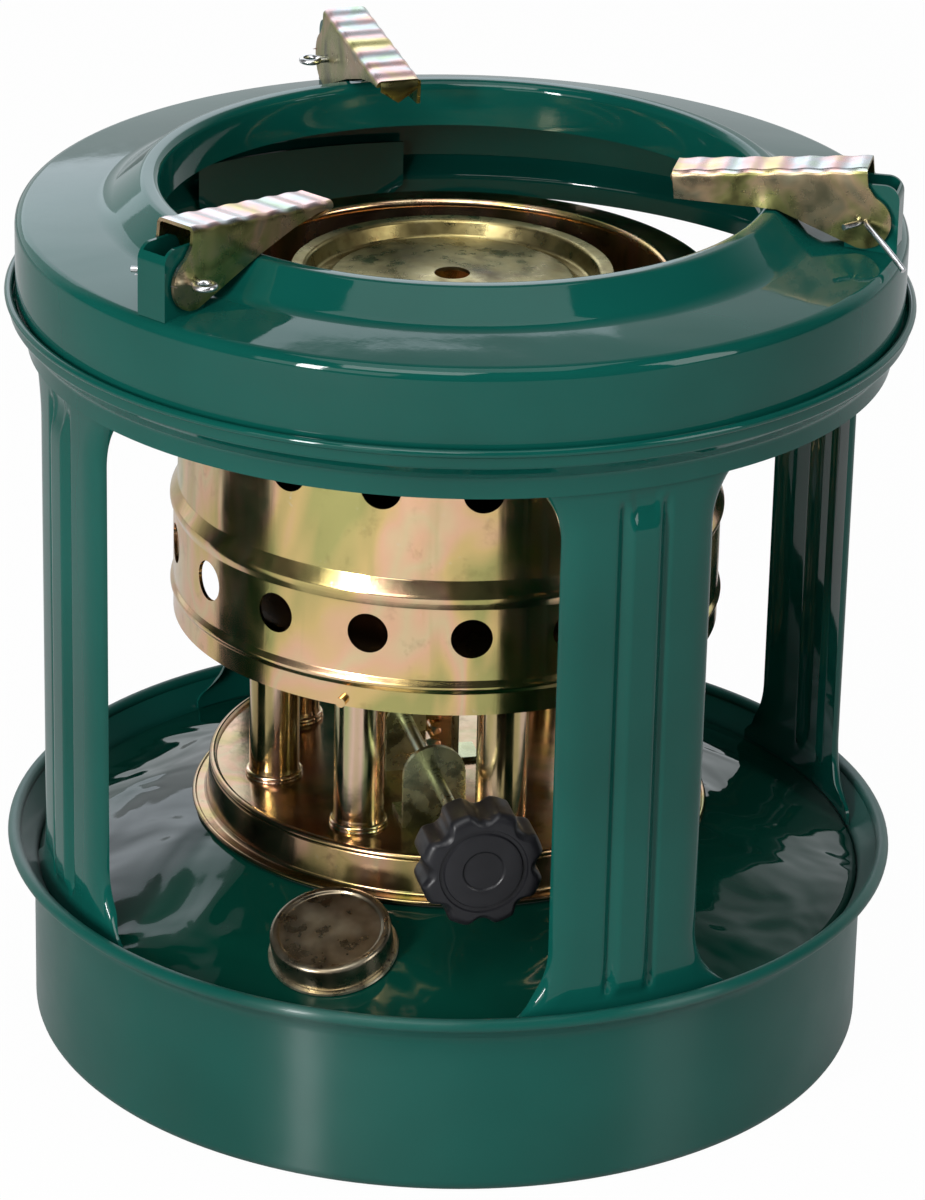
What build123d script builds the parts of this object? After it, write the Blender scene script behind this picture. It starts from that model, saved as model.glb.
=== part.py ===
from build123d import *
import os
from math import acos, atan, cos, pi, radians, sin, sqrt, tan

# A round camping stove that burns kerosene on eight wicks.
# Millimetres, +Z up, origin under the middle of the tank, -Y is the side with the filler cap.
# Angles round the stove are counted from the front (-Y) towards the right (+X).

# Fits
slip_fit = 0.1
running_fit = 0.05
lift_gap = 0.4
overrun = 3.0

# Fuel tank pan
rim_radius = 100.0
rim_overhang = 6.0
tank_height = 44.7
tank_gauge = 0.8
tank_corner = 3.0
foot_width = 16.0
bottom_rise = 2.0
bottom_bend = 1.5
rim_roll = 1.5
flare_rise = 5.7
flare_bend = 4.0

# Tank top, a cone set into the pan
top_edge_height = 38.0
top_skirt = 5.0
top_slope = 19.0
top_flat_inset = 0.8
top_edge_bend = 2.5
top_flat_bend = 6.0
burner_hole_inset = 7.8

# Filler
filler_place_share = 0.4
filler_size_share = 0.398
filler_gauge = 0.8
flange_overhang = 3.2
neck_depth = 4.0
cap_inset = 1.0
cap_height = 6.0
cap_gauge = 1.0
cap_rim_bend = 1.2
cap_panel_drop = 0.5
cap_rim_land = 1.8
cap_gasket_height = 1.0

# Legs
leg_count = 4
leg_first_angle = 45.0
leg_half_width = 17.0
leg_gauge = 0.8
leg_edge_depth = 4.5
leg_edge_bend = 3.0
leg_lap = 1.2
lap_depth_share = 0.25
rib_half_width = 3.2
rib_height = 0.6
groove_width = 3.0
groove_depth = 0.7
rib_bend = 0.9
rib_end_gap = 6.0
tab_width = 8.5
tab_height = 13.2
leg_lean = 2.2
flare_radius = 17.8
head_flare_drop = 12.0
toe_flare_rise = 18.0

# Frame ring
ring_inset = 2.0
ring_ledge_width = 3.5
ring_drop = 13.6
ring_gauge = 0.8
ring_height = 8.2
ring_cove = 2.4
ring_lip_height = 3.2
ring_roll = 0.9
ring_bend = 1.0

# Top cover
cover_clearance = 0.3
cover_gauge = 0.8
cover_skirt = 19.8
cover_shoulder_bend = 2.6
cover_top_width = 19.4
cover_valley_rise = 1.6
cover_valley_bend = 7.0
crest_rise = 6.4
crest_run = 7.9
crest_width = 4.1
crest_bend = 1.9
collar_depth = 10.4

# Pot supports, their brackets and split pins
support_count = 3
support_first_angle = -22.0
pivot_inset = 8.9
pivot_height = 6.6
support_droop = 5.9
support_gauge = 0.8
support_width = 10.4
plate_height = 11.4
plate_length = 42.0
plate_overhang = 1.5
ripple_count = 7
ripple_height = 0.5
lobe_radius = 6.0
heel_depth = 3.6
rest_reach = 18.4
rest_height = 2.95
tip_depth = 5.7
hook_reach = 6.2
hook_depth = 2.0
bracket_gauge = 0.8
bracket_gap = 0.5
bracket_reach = 7.4
bracket_depth = 11.4
bracket_height = 14.6
bracket_corner = 3.4
bracket_inner_corner = 3.0
pin_radius = 1.4
pin_end_gap = 1.0
eye_radius = 2.0
eye_wire = 0.65
pin_leg_length = 4.5
pin_leg_spread = 38.0
long_leg_out = 9.6
long_leg_drop = 6.0
long_leg_side = 8.0
long_leg_support = 1

# Burner base
base_gasket_height = 0.8
base_gasket_width = 5.5
base_radius = 58.3
base_gauge = 0.8
base_flange = 2.9
base_wall_lean = 1.4
base_rise = 8.4
base_bend = 1.0
base_edge_roll = 0.6
base_rim_roll = 0.9

# Wick tubes and gallery
wick_count = 8
wick_first_angle = -9.5
wick_inset = 17.3
tube_radius = 5.6
tube_gauge = 0.6
tube_height = 39.8
tube_tail = 2.5
tube_foot_roll = 0.7
gallery_gauge = 0.8
gallery_lip = 5.0
gallery_bend = 1.0

# Wicks and their carrier
wick_room = 0.4
wick_tip = 1.0
wick_low_end = 8.0
carrier_height = 40.0
carrier_gauge = 1.2
carrier_edge_gap = 2.0
carrier_window = 14.0

# Wick adjuster: shaft, pinion, rack, yoke, bracket and knob
shaft_angle = 32.7
shaft_offset = 11.6
shaft_rise = 12.1
shaft_radius = 1.5
shaft_tail = 4.0
tooth_module = 1.0
pinion_teeth = 15
pressure_angle = 20.0
backlash = 0.3
tip_clearance = 0.3
pinion_width = 4.0
rack_width = 5.0
rack_back = 2.4
rack_top_above_shaft = 5.7
rack_foot_teeth = 1
rack_teeth = 9
bracket_plate_gauge = 1.2
bracket_plate_width = 14.0
bracket_distance = 34.6
bracket_foot = 10.0
yoke_gauge = 1.0
yoke_width = 9.0
yoke_half_span = 6.0
yoke_head = 4.5
guide_gauge = 1.0
guide_width = 8.0
guide_height = 15.0
guide_foot = 6.0
slot_room = 0.6
screw_radius = 1.6
screw_head_radius = 2.9
screw_head_height = 1.5
screw_tail = 2.0
screw_slot = 0.7
knob_radius = 13.5
knob_length = 11.0
knob_face_distance = 83.5
knob_lobes = 8
knob_flute_radius = 3.0
knob_flute_reach = 14.6
knob_bend = 1.8
knob_bore_depth = 8.0
knob_ring_radius = 9.6
knob_ring_width = 1.1
knob_ring_depth = 0.6
knob_dish_radius = 4.4
knob_hub_radius = 7.0
knob_hub_length = 3.0

# Drum: casing, sleeves, flame cap and cross pins
drum_play = 2.2
drum_shift = 1.9
drum_shift_angle = -70.5
casing_room = 12.3
casing_taper = 1.7
casing_gauge = 0.8
casing_drop = 2.16
casing_height = 77.5
casing_bend = 0.8
casing_shoulder_bend = 3.0
casing_bead_height = 6.45
casing_bead_rise = 1.5
casing_bead_proud = 0.9
casing_bead_bend = 1.2
casing_step_height = 24.4
casing_step_rise = 6.3
casing_step_width = 0.9
casing_bulge_proud = 1.0
casing_bulge_bend = 2.4
casing_hole_radius = 4.5
casing_hole_count = 17
casing_hole_phase = 4.0
casing_hole_stagger = 2.0
casing_hole_low = 17.8
casing_hole_high = 50.6
stud_radius = 1.1
stud_height = 1.4
stud_rise = 1.2
stud_angle = -1.1
sleeve_gauge = 0.8
outer_sleeve_room = 7.4
inner_sleeve_room = 6.6
outer_sleeve_rise = 0.2
inner_sleeve_rise = 0.9
sleeve_roll = 1.0
vent_radius = 1.8
vent_count = 12
vent_low = 16.0
vent_pitch = 15.0
outer_vent_rows = 4
inner_vent_rows = 3
cap_overhang = 0.8
cap_rim_width = 2.2
cap_wall_drop = 3.7
cap_wall_lean = 1.4
cap_valley_width = 2.8
cap_step_rise = 1.6
cap_step_width = 1.2
cap_dome_rise = 1.2
cap_hole_radius = 3.9
cap_bend = 1.1
cross_pin_count = 3
cross_pin_radius = 1.5
cross_pin_height = 61.0
cross_pin_angle = 13.0
cross_pin_overhang = 0.8

# Radii that follow from the sizes above
tank_radius = rim_radius - rim_overhang
top_edge_radius = tank_radius - tank_gauge - slip_fit
top_flat_radius = base_radius - top_flat_inset
burner_hole_radius = base_radius - burner_hole_inset
filler_distance = base_radius + (tank_radius - base_radius) * filler_place_share
filler_flange_radius = (tank_radius - base_radius) * filler_size_share
neck_radius = filler_flange_radius - flange_overhang
cap_radius = filler_flange_radius - cap_inset
cap_panel_radius = cap_radius - cap_rim_land
ring_lip_radius = rim_radius - ring_inset
ring_radius = ring_lip_radius - ring_ledge_width
leg_radius = ring_radius - ring_gauge - slip_fit
cover_radius = ring_lip_radius - ring_gauge - cover_clearance
cover_valley_radius = cover_radius - cover_top_width
crest_radius = cover_valley_radius - crest_run
opening_radius = crest_radius - crest_width
pivot_radius = cover_radius - pivot_inset
wick_circle = base_radius - wick_inset
outer_sleeve_radius = wick_circle + outer_sleeve_room
inner_sleeve_radius = wick_circle - inner_sleeve_room
casing_radius = outer_sleeve_radius + casing_room
casing_top_radius = casing_radius - casing_taper
pitch_radius = tooth_module * pinion_teeth / 2
wick_radius = tube_radius - tube_gauge - wick_room

# Heights that follow
top_flat_height = top_edge_height + (top_edge_radius - top_flat_radius) * tan(radians(top_slope))
base_foot = top_flat_height + base_gasket_height
base_flange_top = base_foot + base_gauge
floor_height = base_flange_top + base_rise
shaft_height = floor_height + shaft_rise
tube_top = floor_height + tube_height
gallery_floor = tube_top - gallery_gauge
casing_foot = tube_top - casing_drop
casing_top = casing_foot + casing_height
ring_bottom = casing_top - ring_drop
ring_ledge = ring_bottom + ring_height
cover_foot = ring_ledge + ring_gauge
cover_edge = cover_foot + cover_skirt
cover_valley = cover_edge + cover_valley_rise
crest_height = cover_valley + crest_rise
pivot_z = cover_valley + pivot_height - cover_valley_rise / 2
carrier_top = carrier_height + carrier_gauge

# Frames: a radial section at the front, the filler and the wick shaft
side_plane = Plane(origin=(0, 0, 0), x_dir=(0, -1, 0), z_dir=(-1, 0, 0))
slope_sin = sin(radians(top_slope))
slope_cos = cos(radians(top_slope))
filler_height = top_edge_height + (top_edge_radius - filler_distance) * tan(radians(top_slope))
filler_plane = Plane(
    origin=(0, -filler_distance, filler_height), x_dir=(1, 0, 0), z_dir=(0, -slope_sin, slope_cos)
)
shaft_way = Vector(sin(radians(shaft_angle)), -cos(radians(shaft_angle)), 0)
shaft_side = Vector(cos(radians(shaft_angle)), sin(radians(shaft_angle)), 0)
shaft_plane = Plane(
    origin=shaft_side * -shaft_offset + Vector(0, 0, shaft_height), x_dir=shaft_side, z_dir=shaft_way
)


def turned(shape, angle):
    return Rot(0, 0, angle) * shape


def ring_of(radius, angle, height):
    # a place on a circle round the stove's axis
    return Pos(radius * sin(radians(angle)), -radius * cos(radians(angle)), height)


def pressed(points, bends, gauge):
    # sheet metal turned about the axis, its outer face through the points
    path = FilletPolyline(*points, radius=bends)
    section = make_face(offset(path, amount=gauge, side=Side.LEFT))
    return revolve(Plane.XZ * section, axis=Axis.Z)


def rolled(radius, height, roll):
    # a rolled edge or a bead
    return revolve(Plane.XZ * Pos(radius, height) * Circle(roll), axis=Axis.Z)


def post(radius, low, high):
    return Pos(0, 0, low) * extrude(Circle(radius), amount=high - low)


def pipe(radius, gauge, low, high):
    return Pos(0, 0, low) * extrude(Circle(radius) - Circle(radius - gauge), amount=high - low)


def drill(radius, reach, angle, height):
    # a round bar that lies across the stove, from the axis outwards
    bar = extrude(Plane.XZ * Circle(radius), amount=reach)
    return Pos(0, 0, height) * turned(bar, angle)


def in_side(face, width):
    # a radial section at the front, thickened to both sides
    return extrude(side_plane * face, amount=width / 2, both=True)


def in_shaft(face, low, high):
    # a section square to the wick shaft, from one distance along it to another
    return shaft_plane * (Pos(0, 0, low) * extrude(face, amount=high - low, dir=(0, 0, 1)))


# Fuel tank
def tank_pan():
    foot_edge = tank_radius - foot_width
    roll_radius = rim_radius - rim_roll
    roll_height = tank_height - rim_roll
    shell = pressed(
        [
            (0, bottom_rise),
            (foot_edge - bottom_rise, bottom_rise),
            (foot_edge, 0),
            (tank_radius, 0),
            (tank_radius, roll_height - flare_rise),
            (roll_radius, roll_height),
        ],
        [bottom_bend, bottom_bend, tank_corner, flare_bend],
        tank_gauge,
    )
    return shell + rolled(roll_radius, roll_height, rim_roll)


def tank_top():
    plate = pressed(
        [
            (top_edge_radius, top_edge_height - top_skirt),
            (top_edge_radius, top_edge_height),
            (top_flat_radius, top_flat_height),
            (burner_hole_radius, top_flat_height),
        ],
        [top_edge_bend, top_flat_bend],
        tank_gauge,
    )
    hole = filler_plane * post(neck_radius + slip_fit, -neck_depth - overrun, overrun)
    return plate - hole


def below_tank_top(gap):
    # the space below the cone of the tank top, to trim what stands on it
    lift = gap / slope_cos
    inner = top_flat_radius
    outer = top_edge_radius + overrun
    outer_height = top_edge_height - overrun * tan(radians(top_slope)) + lift
    face = Polygon(
        (inner, 0), (outer, 0), (outer, outer_height), (inner, top_flat_height + lift), align=None
    )
    return revolve(Plane.XZ * face, axis=Axis.Z)


# Filler
def filler_neck():
    neck_top = filler_gauge + cap_height - cap_gauge - cap_gasket_height
    flange = post(filler_flange_radius, 0, filler_gauge)
    tube = post(neck_radius, -neck_depth, neck_top)
    bore = post(neck_radius - filler_gauge, -neck_depth, neck_top)
    return filler_plane * (flange + tube - bore)


def filler_cap():
    foot = filler_gauge
    crown = foot + cap_height
    shell = post(cap_radius, foot, crown)
    shell = fillet(shell.edges().sort_by(Axis.Z)[-1], cap_rim_bend)
    shell -= post(cap_panel_radius, crown - cap_panel_drop, crown)
    shell -= post(cap_radius - cap_gauge, foot, crown - cap_panel_drop - cap_gauge)
    return filler_plane * shell


def cap_gasket():
    top = filler_gauge + cap_height - cap_panel_drop - cap_gauge
    return filler_plane * pipe(
        neck_radius + filler_gauge / 2, filler_gauge * 2, top - cap_gasket_height + cap_panel_drop, top
    )


# Legs
def leg_head():
    # height at which the leg starts to widen towards the frame ring
    return ring_bottom - head_flare_drop


def leg_toe():
    # height at which the leg starts to widen towards the tank
    return top_edge_height + toe_flare_rise


def leg_outline():
    # front view of one leg's sheet: a straight strip that flares into a tab at both ends
    low = top_edge_height
    high = ring_bottom + tab_height
    wide = 2 * (leg_half_width + tab_width)
    sheet = Pos(0, (low + high) / 2) * Rectangle(wide, high - low)
    waist = Pos(0, (leg_toe() + leg_head()) / 2) * Rectangle(wide, leg_head() - leg_toe())
    strip = Pos(0, (low + high) / 2) * Rectangle(2 * leg_half_width, high - low)
    sheet = sheet - waist + strip
    for side in (-1, 1):
        for height in (leg_toe(), leg_head()):
            sheet -= Pos(side * (leg_half_width + flare_radius), height) * Circle(flare_radius)
    return sheet


def on_leg(across, depth):
    # plan point on the leg's outer face, depth inwards from the cylinder
    return across, depth - sqrt(leg_radius**2 - across**2)


def leg_strip(points, bends, low, high):
    path = FilletPolyline(*points, radius=bends)
    plan = make_face(offset(path, amount=leg_gauge, side=Side.LEFT))
    return Pos(0, 0, low) * extrude(plan, amount=high - low, dir=(0, 0, 1))


def leg_rib(low, high):
    # rib between two grooves, pressed into the middle of the leg
    groove = rib_half_width + groove_width / 2
    edge = rib_half_width + groove_width
    depth = leg_gauge * lap_depth_share
    half = [(rib_half_width, -rib_height), (groove, groove_depth), (edge, depth), (edge + leg_lap, depth)]
    sides = [(-x, d) for x, d in reversed(half)] + half
    return leg_strip([on_leg(x, d) for x, d in sides], rib_bend, low, high)


def leg_edge(low, high, side):
    # side edge curled inwards
    start = leg_half_width - leg_edge_bend - leg_lap
    depth = leg_gauge * lap_depth_share
    points = [on_leg(start, depth), on_leg(leg_half_width, depth), on_leg(leg_half_width, leg_edge_depth)]
    if side < 0:
        points = [(-x, y) for x, y in reversed(points)]
    return leg_strip(points, leg_edge_bend, low, high)


def leg_slot(middle, width, low, high):
    return Pos(middle, -leg_radius, (low + high) / 2) * Box(width, leg_radius / 2, high - low)


def leg():
    low = top_edge_height
    high = ring_bottom + tab_height
    rib_high = ring_bottom - rib_end_gap
    body = pipe(leg_radius, leg_gauge, low, high) & extrude(Plane.XZ * leg_outline(), amount=rim_radius)
    body -= leg_slot(0, 2 * (rib_half_width + groove_width), low, rib_high)
    body += leg_rib(low, rib_high)
    for side in (-1, 1):
        body -= leg_slot(side * leg_half_width, 2 * leg_edge_bend, leg_toe(), leg_head())
        body += leg_edge(leg_toe(), leg_head(), side)
    top = Pos(0, -leg_radius, high)
    body = top * Rot(atan(leg_lean / (high - low)) * 180 / pi, 0, 0) * top.inverse() * body
    return body - below_tank_top(0)


# Upper ring and cover
def frame_ring():
    band = pressed(
        [
            (ring_radius, ring_bottom),
            (ring_radius, ring_ledge),
            (ring_lip_radius, ring_ledge),
            (ring_lip_radius, ring_ledge + ring_lip_height),
        ],
        [ring_cove, ring_bend],
        ring_gauge,
    )
    return band + rolled(ring_lip_radius, ring_ledge + ring_lip_height, ring_roll) - post(
        ring_lip_radius - ring_gauge, cover_foot, ring_ledge + ring_lip_height + overrun
    )


def top_cover():
    return pressed(
        [
            (cover_radius, cover_foot),
            (cover_radius, cover_edge),
            (cover_valley_radius, cover_valley),
            (crest_radius, crest_height),
            (opening_radius, crest_height),
            (opening_radius, crest_height - collar_depth),
        ],
        [cover_shoulder_bend, cover_valley_bend, crest_bend, crest_bend],
        cover_gauge,
    )


def under_cover():
    # the space below the cover's sloping top, to trim what stands on it
    slope = cover_valley_rise / (cover_radius - cover_valley_radius)
    face = Polygon(
        (cover_valley_radius, cover_foot),
        (cover_radius + overrun, cover_foot),
        (cover_radius + overrun, cover_edge - overrun * slope),
        (cover_valley_radius, cover_valley),
        align=None,
    )
    return revolve(Plane.XZ * face, axis=Axis.Z)


# Pot supports
def bracket_width():
    return support_width - 2 * support_gauge - 2 * bracket_gap


def support_bracket(angle):
    outer = pivot_radius + bracket_reach
    top = pivot_z + bracket_height - pivot_height
    foot = cover_edge - overrun
    plate = Pos(outer - bracket_depth / 2, (foot + top) / 2) * Rectangle(bracket_depth, top - foot)
    corners = plate.vertices().sort_by(Axis.Y)[-2:].sort_by(Axis.X)
    plate = fillet(corners[1], bracket_corner)
    inner_corner = plate.vertices().sort_by(Axis.Y)[-2:].sort_by(Axis.X)[0]
    plate = fillet(inner_corner, bracket_inner_corner)
    plate -= Pos(pivot_radius, pivot_z) * Circle(pin_radius + running_fit)
    channel = Pos(outer - bracket_gauge - bracket_depth / 2, (foot + top) / 2) * Rectangle(
        bracket_depth, top - foot + overrun
    )
    shell = in_side(plate, bracket_width())
    shell -= in_side(channel, bracket_width() - 2 * bracket_gauge)
    return turned(shell - under_cover(), angle)


def tangent_foot(point, radius):
    # where a line from the point touches the pivot lobe from below
    reach = sqrt(point[0] ** 2 + point[1] ** 2)
    spread = acos(radius / reach)
    unit = Vector(point[0], point[1], 0) / reach
    foot = unit.rotate(Axis.Z, spread * 180 / pi) * radius
    return foot.X, foot.Y


def cheek(lower_edge):
    # side of a pot support about its pivot: heel, lobe, lower edge and the edge under the plate
    under = plate_height - support_gauge / 2
    tip = plate_overhang - plate_length
    foot = tangent_foot(lower_edge[0], lobe_radius)
    heel_drop = plate_height - heel_depth
    heel_reach = sqrt(lobe_radius**2 - (lobe_radius - heel_depth / 2) ** 2)
    heel = (heel_reach, lobe_radius - heel_depth / 2)
    outline = Polyline((plate_overhang, under), (plate_overhang, heel_drop), heel)
    lobe = ThreePointArc(heel, (lobe_radius, 0), foot)
    lower = Polyline(foot, *lower_edge, (tip, under), (plate_overhang, under))
    face = make_face(Curve() + [outline, lobe, lower])
    return face - Circle(pin_radius + running_fit)


def ripple_plate():
    # top plate with cross ripples, drawn as a chain of arcs and thickened
    tip = plate_overhang - plate_length
    pitch = plate_length / ripple_count
    crests = []
    for index in range(ripple_count):
        start = plate_overhang - index * pitch
        side = ripple_height if index % 2 else -ripple_height
        crests.append(
            ThreePointArc(
                (start, plate_height), (start - pitch / 2, plate_height + side), (start - pitch, plate_height)
            )
        )
    face = make_face(offset(Wire(Curve() + crests), amount=support_gauge / 2))
    keep = Pos((plate_overhang + tip) / 2, plate_height) * Rectangle(plate_length, plate_height)
    return face & keep


def pot_support(angle):
    tip = plate_overhang - plate_length
    under = plate_height - support_gauge / 2
    rest = (-rest_reach, rest_height)
    straight = [rest, (tip, plate_height - tip_depth)]
    hooked = [rest, (-rest_reach - hook_reach, under - hook_depth)]
    half = support_width / 2
    plate = extrude(ripple_plate(), amount=half, both=True)
    right = Pos(0, 0, half - support_gauge) * extrude(cheek(hooked), amount=support_gauge, dir=(0, 0, 1))
    left = Pos(0, 0, -half) * extrude(cheek(straight), amount=support_gauge, dir=(0, 0, 1))
    body = Rot(0, 0, support_droop) * (plate + right + left)
    return turned(side_plane * (Pos(pivot_radius, pivot_z) * body), angle)


def support_pin(angle, index):
    # split pin: round stem, eye on one side, spread legs on the other
    half = support_width / 2 + pin_end_gap
    wire = pin_radius / 2
    pin = extrude(Circle(pin_radius), amount=half, both=True)
    pin += Pos(0, 0, -half - eye_radius) * Rot(90, 0, 0) * Torus(eye_radius, eye_wire)
    for side in (-1, 1):
        way = Vector(side * sin(radians(pin_leg_spread)), 0, cos(radians(pin_leg_spread))) * pin_leg_length
        if side > 0 and index == long_leg_support:
            way = Vector(long_leg_out, -long_leg_drop, long_leg_side)
        root = Plane(origin=(side * wire, 0, half), z_dir=way)
        pin += root * extrude(Circle(wire), amount=way.length)
    return turned(side_plane * (Pos(pivot_radius, pivot_z) * pin), angle)


# Burner base
def base_floor_radius():
    return base_radius - base_flange - base_wall_lean


def burner_base():
    rim = base_floor_radius()
    shell = pressed(
        [
            (base_radius - base_edge_roll, base_flange_top),
            (base_radius - base_flange, base_flange_top),
            (rim, floor_height),
            (rim / 2, floor_height),
        ],
        base_bend,
        base_gauge,
    )
    shell += post(rim / 2 + base_gauge, floor_height - base_gauge, floor_height)
    shell += rolled(base_radius - base_edge_roll, base_flange_top - base_gauge / 2, base_edge_roll)
    shell += rolled(rim - base_gauge, floor_height, base_rim_roll)
    tube_hole = post(tube_radius + slip_fit, base_foot, floor_height + overrun)
    holes = [ring_of(wick_circle, wick_angle(i), 0) * tube_hole for i in range(wick_count)]
    slot = in_shaft(
        Pos(rack_middle(), 0) * Rectangle(rack_depth() + 2 * slot_room, 2 * shaft_rise + 2 * overrun),
        -rack_width / 2 - slot_room,
        rack_width / 2 + slot_room,
    )
    screw_hole = Pos(shaft_side * -shaft_offset) * post(
        screw_radius + slip_fit, base_foot, floor_height + overrun
    )
    return shell - holes - slot - screw_hole


def burner_gasket():
    outer = base_radius - 2 * base_edge_roll - slip_fit
    return pipe(outer, base_gasket_width, top_flat_height, base_foot)


# Wicks, tubes and gallery
def wick_angle(index):
    return wick_first_angle + index * 360 / wick_count


def wick_tube(index):
    low = floor_height - base_gauge - tube_tail
    tube = post(tube_radius, low, tube_top)
    foot = Pos(0, 0, floor_height + tube_foot_roll) * Torus(tube_radius, tube_foot_roll)
    tube = tube + foot - post(tube_radius - tube_gauge, low, tube_top)
    return ring_of(wick_circle, wick_angle(index), 0) * tube


def gallery():
    outer = outer_sleeve_radius + drum_play + gallery_gauge
    inner = inner_sleeve_radius - sleeve_gauge - drum_play - gallery_gauge
    tray = pressed(
        [
            (inner, gallery_floor + gallery_lip),
            (inner, gallery_floor),
            (outer, gallery_floor),
            (outer, gallery_floor + gallery_lip),
        ],
        gallery_bend,
        gallery_gauge,
    )
    hole = post(tube_radius + slip_fit, gallery_floor - overrun, gallery_floor + overrun)
    return tray - [ring_of(wick_circle, wick_angle(i), 0) * hole for i in range(wick_count)]


def wick(index):
    body = post(wick_radius, wick_low_end, tube_top + wick_tip)
    return ring_of(wick_circle, wick_angle(index), 0) * body


def wick_carrier():
    plate = post(burner_hole_radius - carrier_edge_gap, carrier_height, carrier_top)
    hole = post(wick_radius + slip_fit, carrier_height - overrun, carrier_top + overrun)
    holes = [ring_of(wick_circle, wick_angle(i), 0) * hole for i in range(wick_count)]
    window = post(carrier_window / 2, carrier_height - overrun, carrier_top + overrun)
    windows = [
        ring_of(wick_circle / 2, wick_angle(i) + shaft_angle, 0) * window for i in range(0, wick_count, 2)
    ]
    return plate - holes - windows


# Wick adjuster
def rack_depth():
    return 2 * tooth_module + tip_clearance + rack_back


def rack_middle():
    return pitch_radius - tooth_module + rack_depth() / 2


def involute(angle):
    return tan(angle) - angle


def pinion():
    # teeth with involute flanks, a gap facing the rack
    base_circle = pitch_radius * cos(radians(pressure_angle))
    root = pitch_radius - tooth_module - tip_clearance
    tip = pitch_radius + tooth_module
    half_tooth = (pi * tooth_module / 2 - backlash) / 2 / pitch_radius
    start = involute(radians(pressure_angle))
    flank = []
    for radius in (root, base_circle, pitch_radius, tip):
        roll = involute(acos(min(1, base_circle / radius)))
        flank.append((radius, half_tooth + start - roll))
    points = []
    for tooth in range(pinion_teeth):
        middle = 2 * pi * (tooth + 1 / 2) / pinion_teeth
        points += [(r * cos(middle - a), r * sin(middle - a)) for r, a in flank]
        points += [(r * cos(middle + a), r * sin(middle + a)) for r, a in reversed(flank)]
    face = Polygon(*points, align=None) - Circle(shaft_radius + slip_fit / 2)
    return in_shaft(face, -pinion_width / 2, pinion_width / 2)


def rack():
    # toothed bar that stands on the carrier, a tooth level with the shaft at rest
    pitch = pi * tooth_module
    tip = pitch_radius - tooth_module
    root = pitch_radius + tooth_module + tip_clearance
    lean = tan(radians(pressure_angle))
    half_pitch_line = (pitch / 2 - backlash) / 2
    half_tip = half_pitch_line - tooth_module * lean
    half_root = half_pitch_line + (tooth_module + tip_clearance) * lean
    low = carrier_top - shaft_height
    points = [(root + rack_back, rack_top_above_shaft), (root + rack_back, low), (root, low)]
    for tooth in range(rack_foot_teeth - rack_teeth + 1, rack_foot_teeth + 1):
        middle = tooth * pitch
        points += [(root, middle - half_root), (tip, middle - half_tip)]
        points += [(tip, middle + half_tip), (root, middle + half_root)]
    points.append((root, rack_top_above_shaft))
    return in_shaft(Polygon(*points, align=None), -rack_width / 2, rack_width / 2)


def upright(width, head, hole):
    # tab with a round head that stands on the burner floor and carries the shaft
    tab = Pos(0, -shaft_rise / 2) * Rectangle(width, shaft_rise) + Circle(head)
    return tab - Circle(hole) - Pos(0, -shaft_rise - head) * Rectangle(width + head, 2 * head)


def shaft_bracket():
    plate = in_shaft(
        upright(bracket_plate_width, bracket_plate_width / 2, shaft_radius + running_fit),
        bracket_distance - bracket_plate_gauge / 2,
        bracket_distance + bracket_plate_gauge / 2,
    )
    foot_face = Pos(0, bracket_plate_gauge / 2 - shaft_rise) * Rectangle(
        bracket_plate_width, bracket_plate_gauge
    )
    return plate + in_shaft(foot_face, bracket_distance - bracket_foot, bracket_distance)


def pinion_yoke():
    tab = upright(yoke_width, yoke_head, shaft_radius + running_fit)
    outer = yoke_half_span
    inner = yoke_half_span - yoke_gauge
    foot = Pos(0, yoke_gauge / 2 - shaft_rise) * Rectangle(yoke_width, yoke_gauge)
    body = in_shaft(tab, inner, outer) + in_shaft(tab, -outer, -inner) + in_shaft(foot, -outer, outer)
    hole = post(screw_radius + slip_fit, floor_height, floor_height + yoke_gauge + overrun)
    return body - Pos(shaft_side * -shaft_offset) * hole


def yoke_screw():
    seat = floor_height + yoke_gauge
    head = post(screw_head_radius, seat, seat + screw_head_height)
    head = fillet(head.edges().sort_by(Axis.Z)[-1], screw_head_height / 2)
    shank = post(screw_radius, floor_height - base_gauge - screw_tail, seat)
    slot = Pos(0, 0, seat + screw_head_height) * Box(
        2 * screw_head_radius, screw_slot, screw_head_height
    )
    return Pos(shaft_side * -shaft_offset) * (head + shank - slot)


def rack_guide():
    # bent plate behind the rack that keeps it against the pinion
    back = rack_middle() + rack_depth() / 2 + lift_gap
    low = -shaft_rise
    face = Pos(back + guide_gauge / 2, low + guide_height / 2) * Rectangle(guide_gauge, guide_height)
    face += Pos(back + guide_foot / 2, low + guide_gauge / 2) * Rectangle(guide_foot, guide_gauge)
    return in_shaft(face, -guide_width / 2, guide_width / 2)


def adjuster_shaft():
    start = -yoke_half_span - shaft_tail
    end = knob_face_distance - knob_length + knob_bore_depth
    return in_shaft(Circle(shaft_radius), start, end)


def knob():
    back = knob_face_distance - knob_length
    section = Pos(knob_radius / 2, back + knob_length / 2) * Rectangle(knob_radius, knob_length)
    section = fillet(section.vertices().sort_by(Axis.X)[-2:], knob_bend)
    body = revolve(Plane.XZ * section, axis=Axis.Z)
    body += post(knob_hub_radius, back - knob_hub_length, back)
    flute = post(knob_flute_radius, back - overrun, knob_face_distance + overrun)
    body -= [ring_of(knob_flute_reach, i * 360 / knob_lobes, 0) * flute for i in range(knob_lobes)]
    ring_low = knob_face_distance - knob_ring_depth
    body -= pipe(knob_ring_radius, knob_ring_width, ring_low, knob_face_distance + overrun)
    body -= post(knob_dish_radius, ring_low, knob_face_distance + overrun)
    body -= post(shaft_radius + slip_fit / 2, back - knob_hub_length, back + knob_bore_depth)
    return shaft_plane * body


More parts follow.
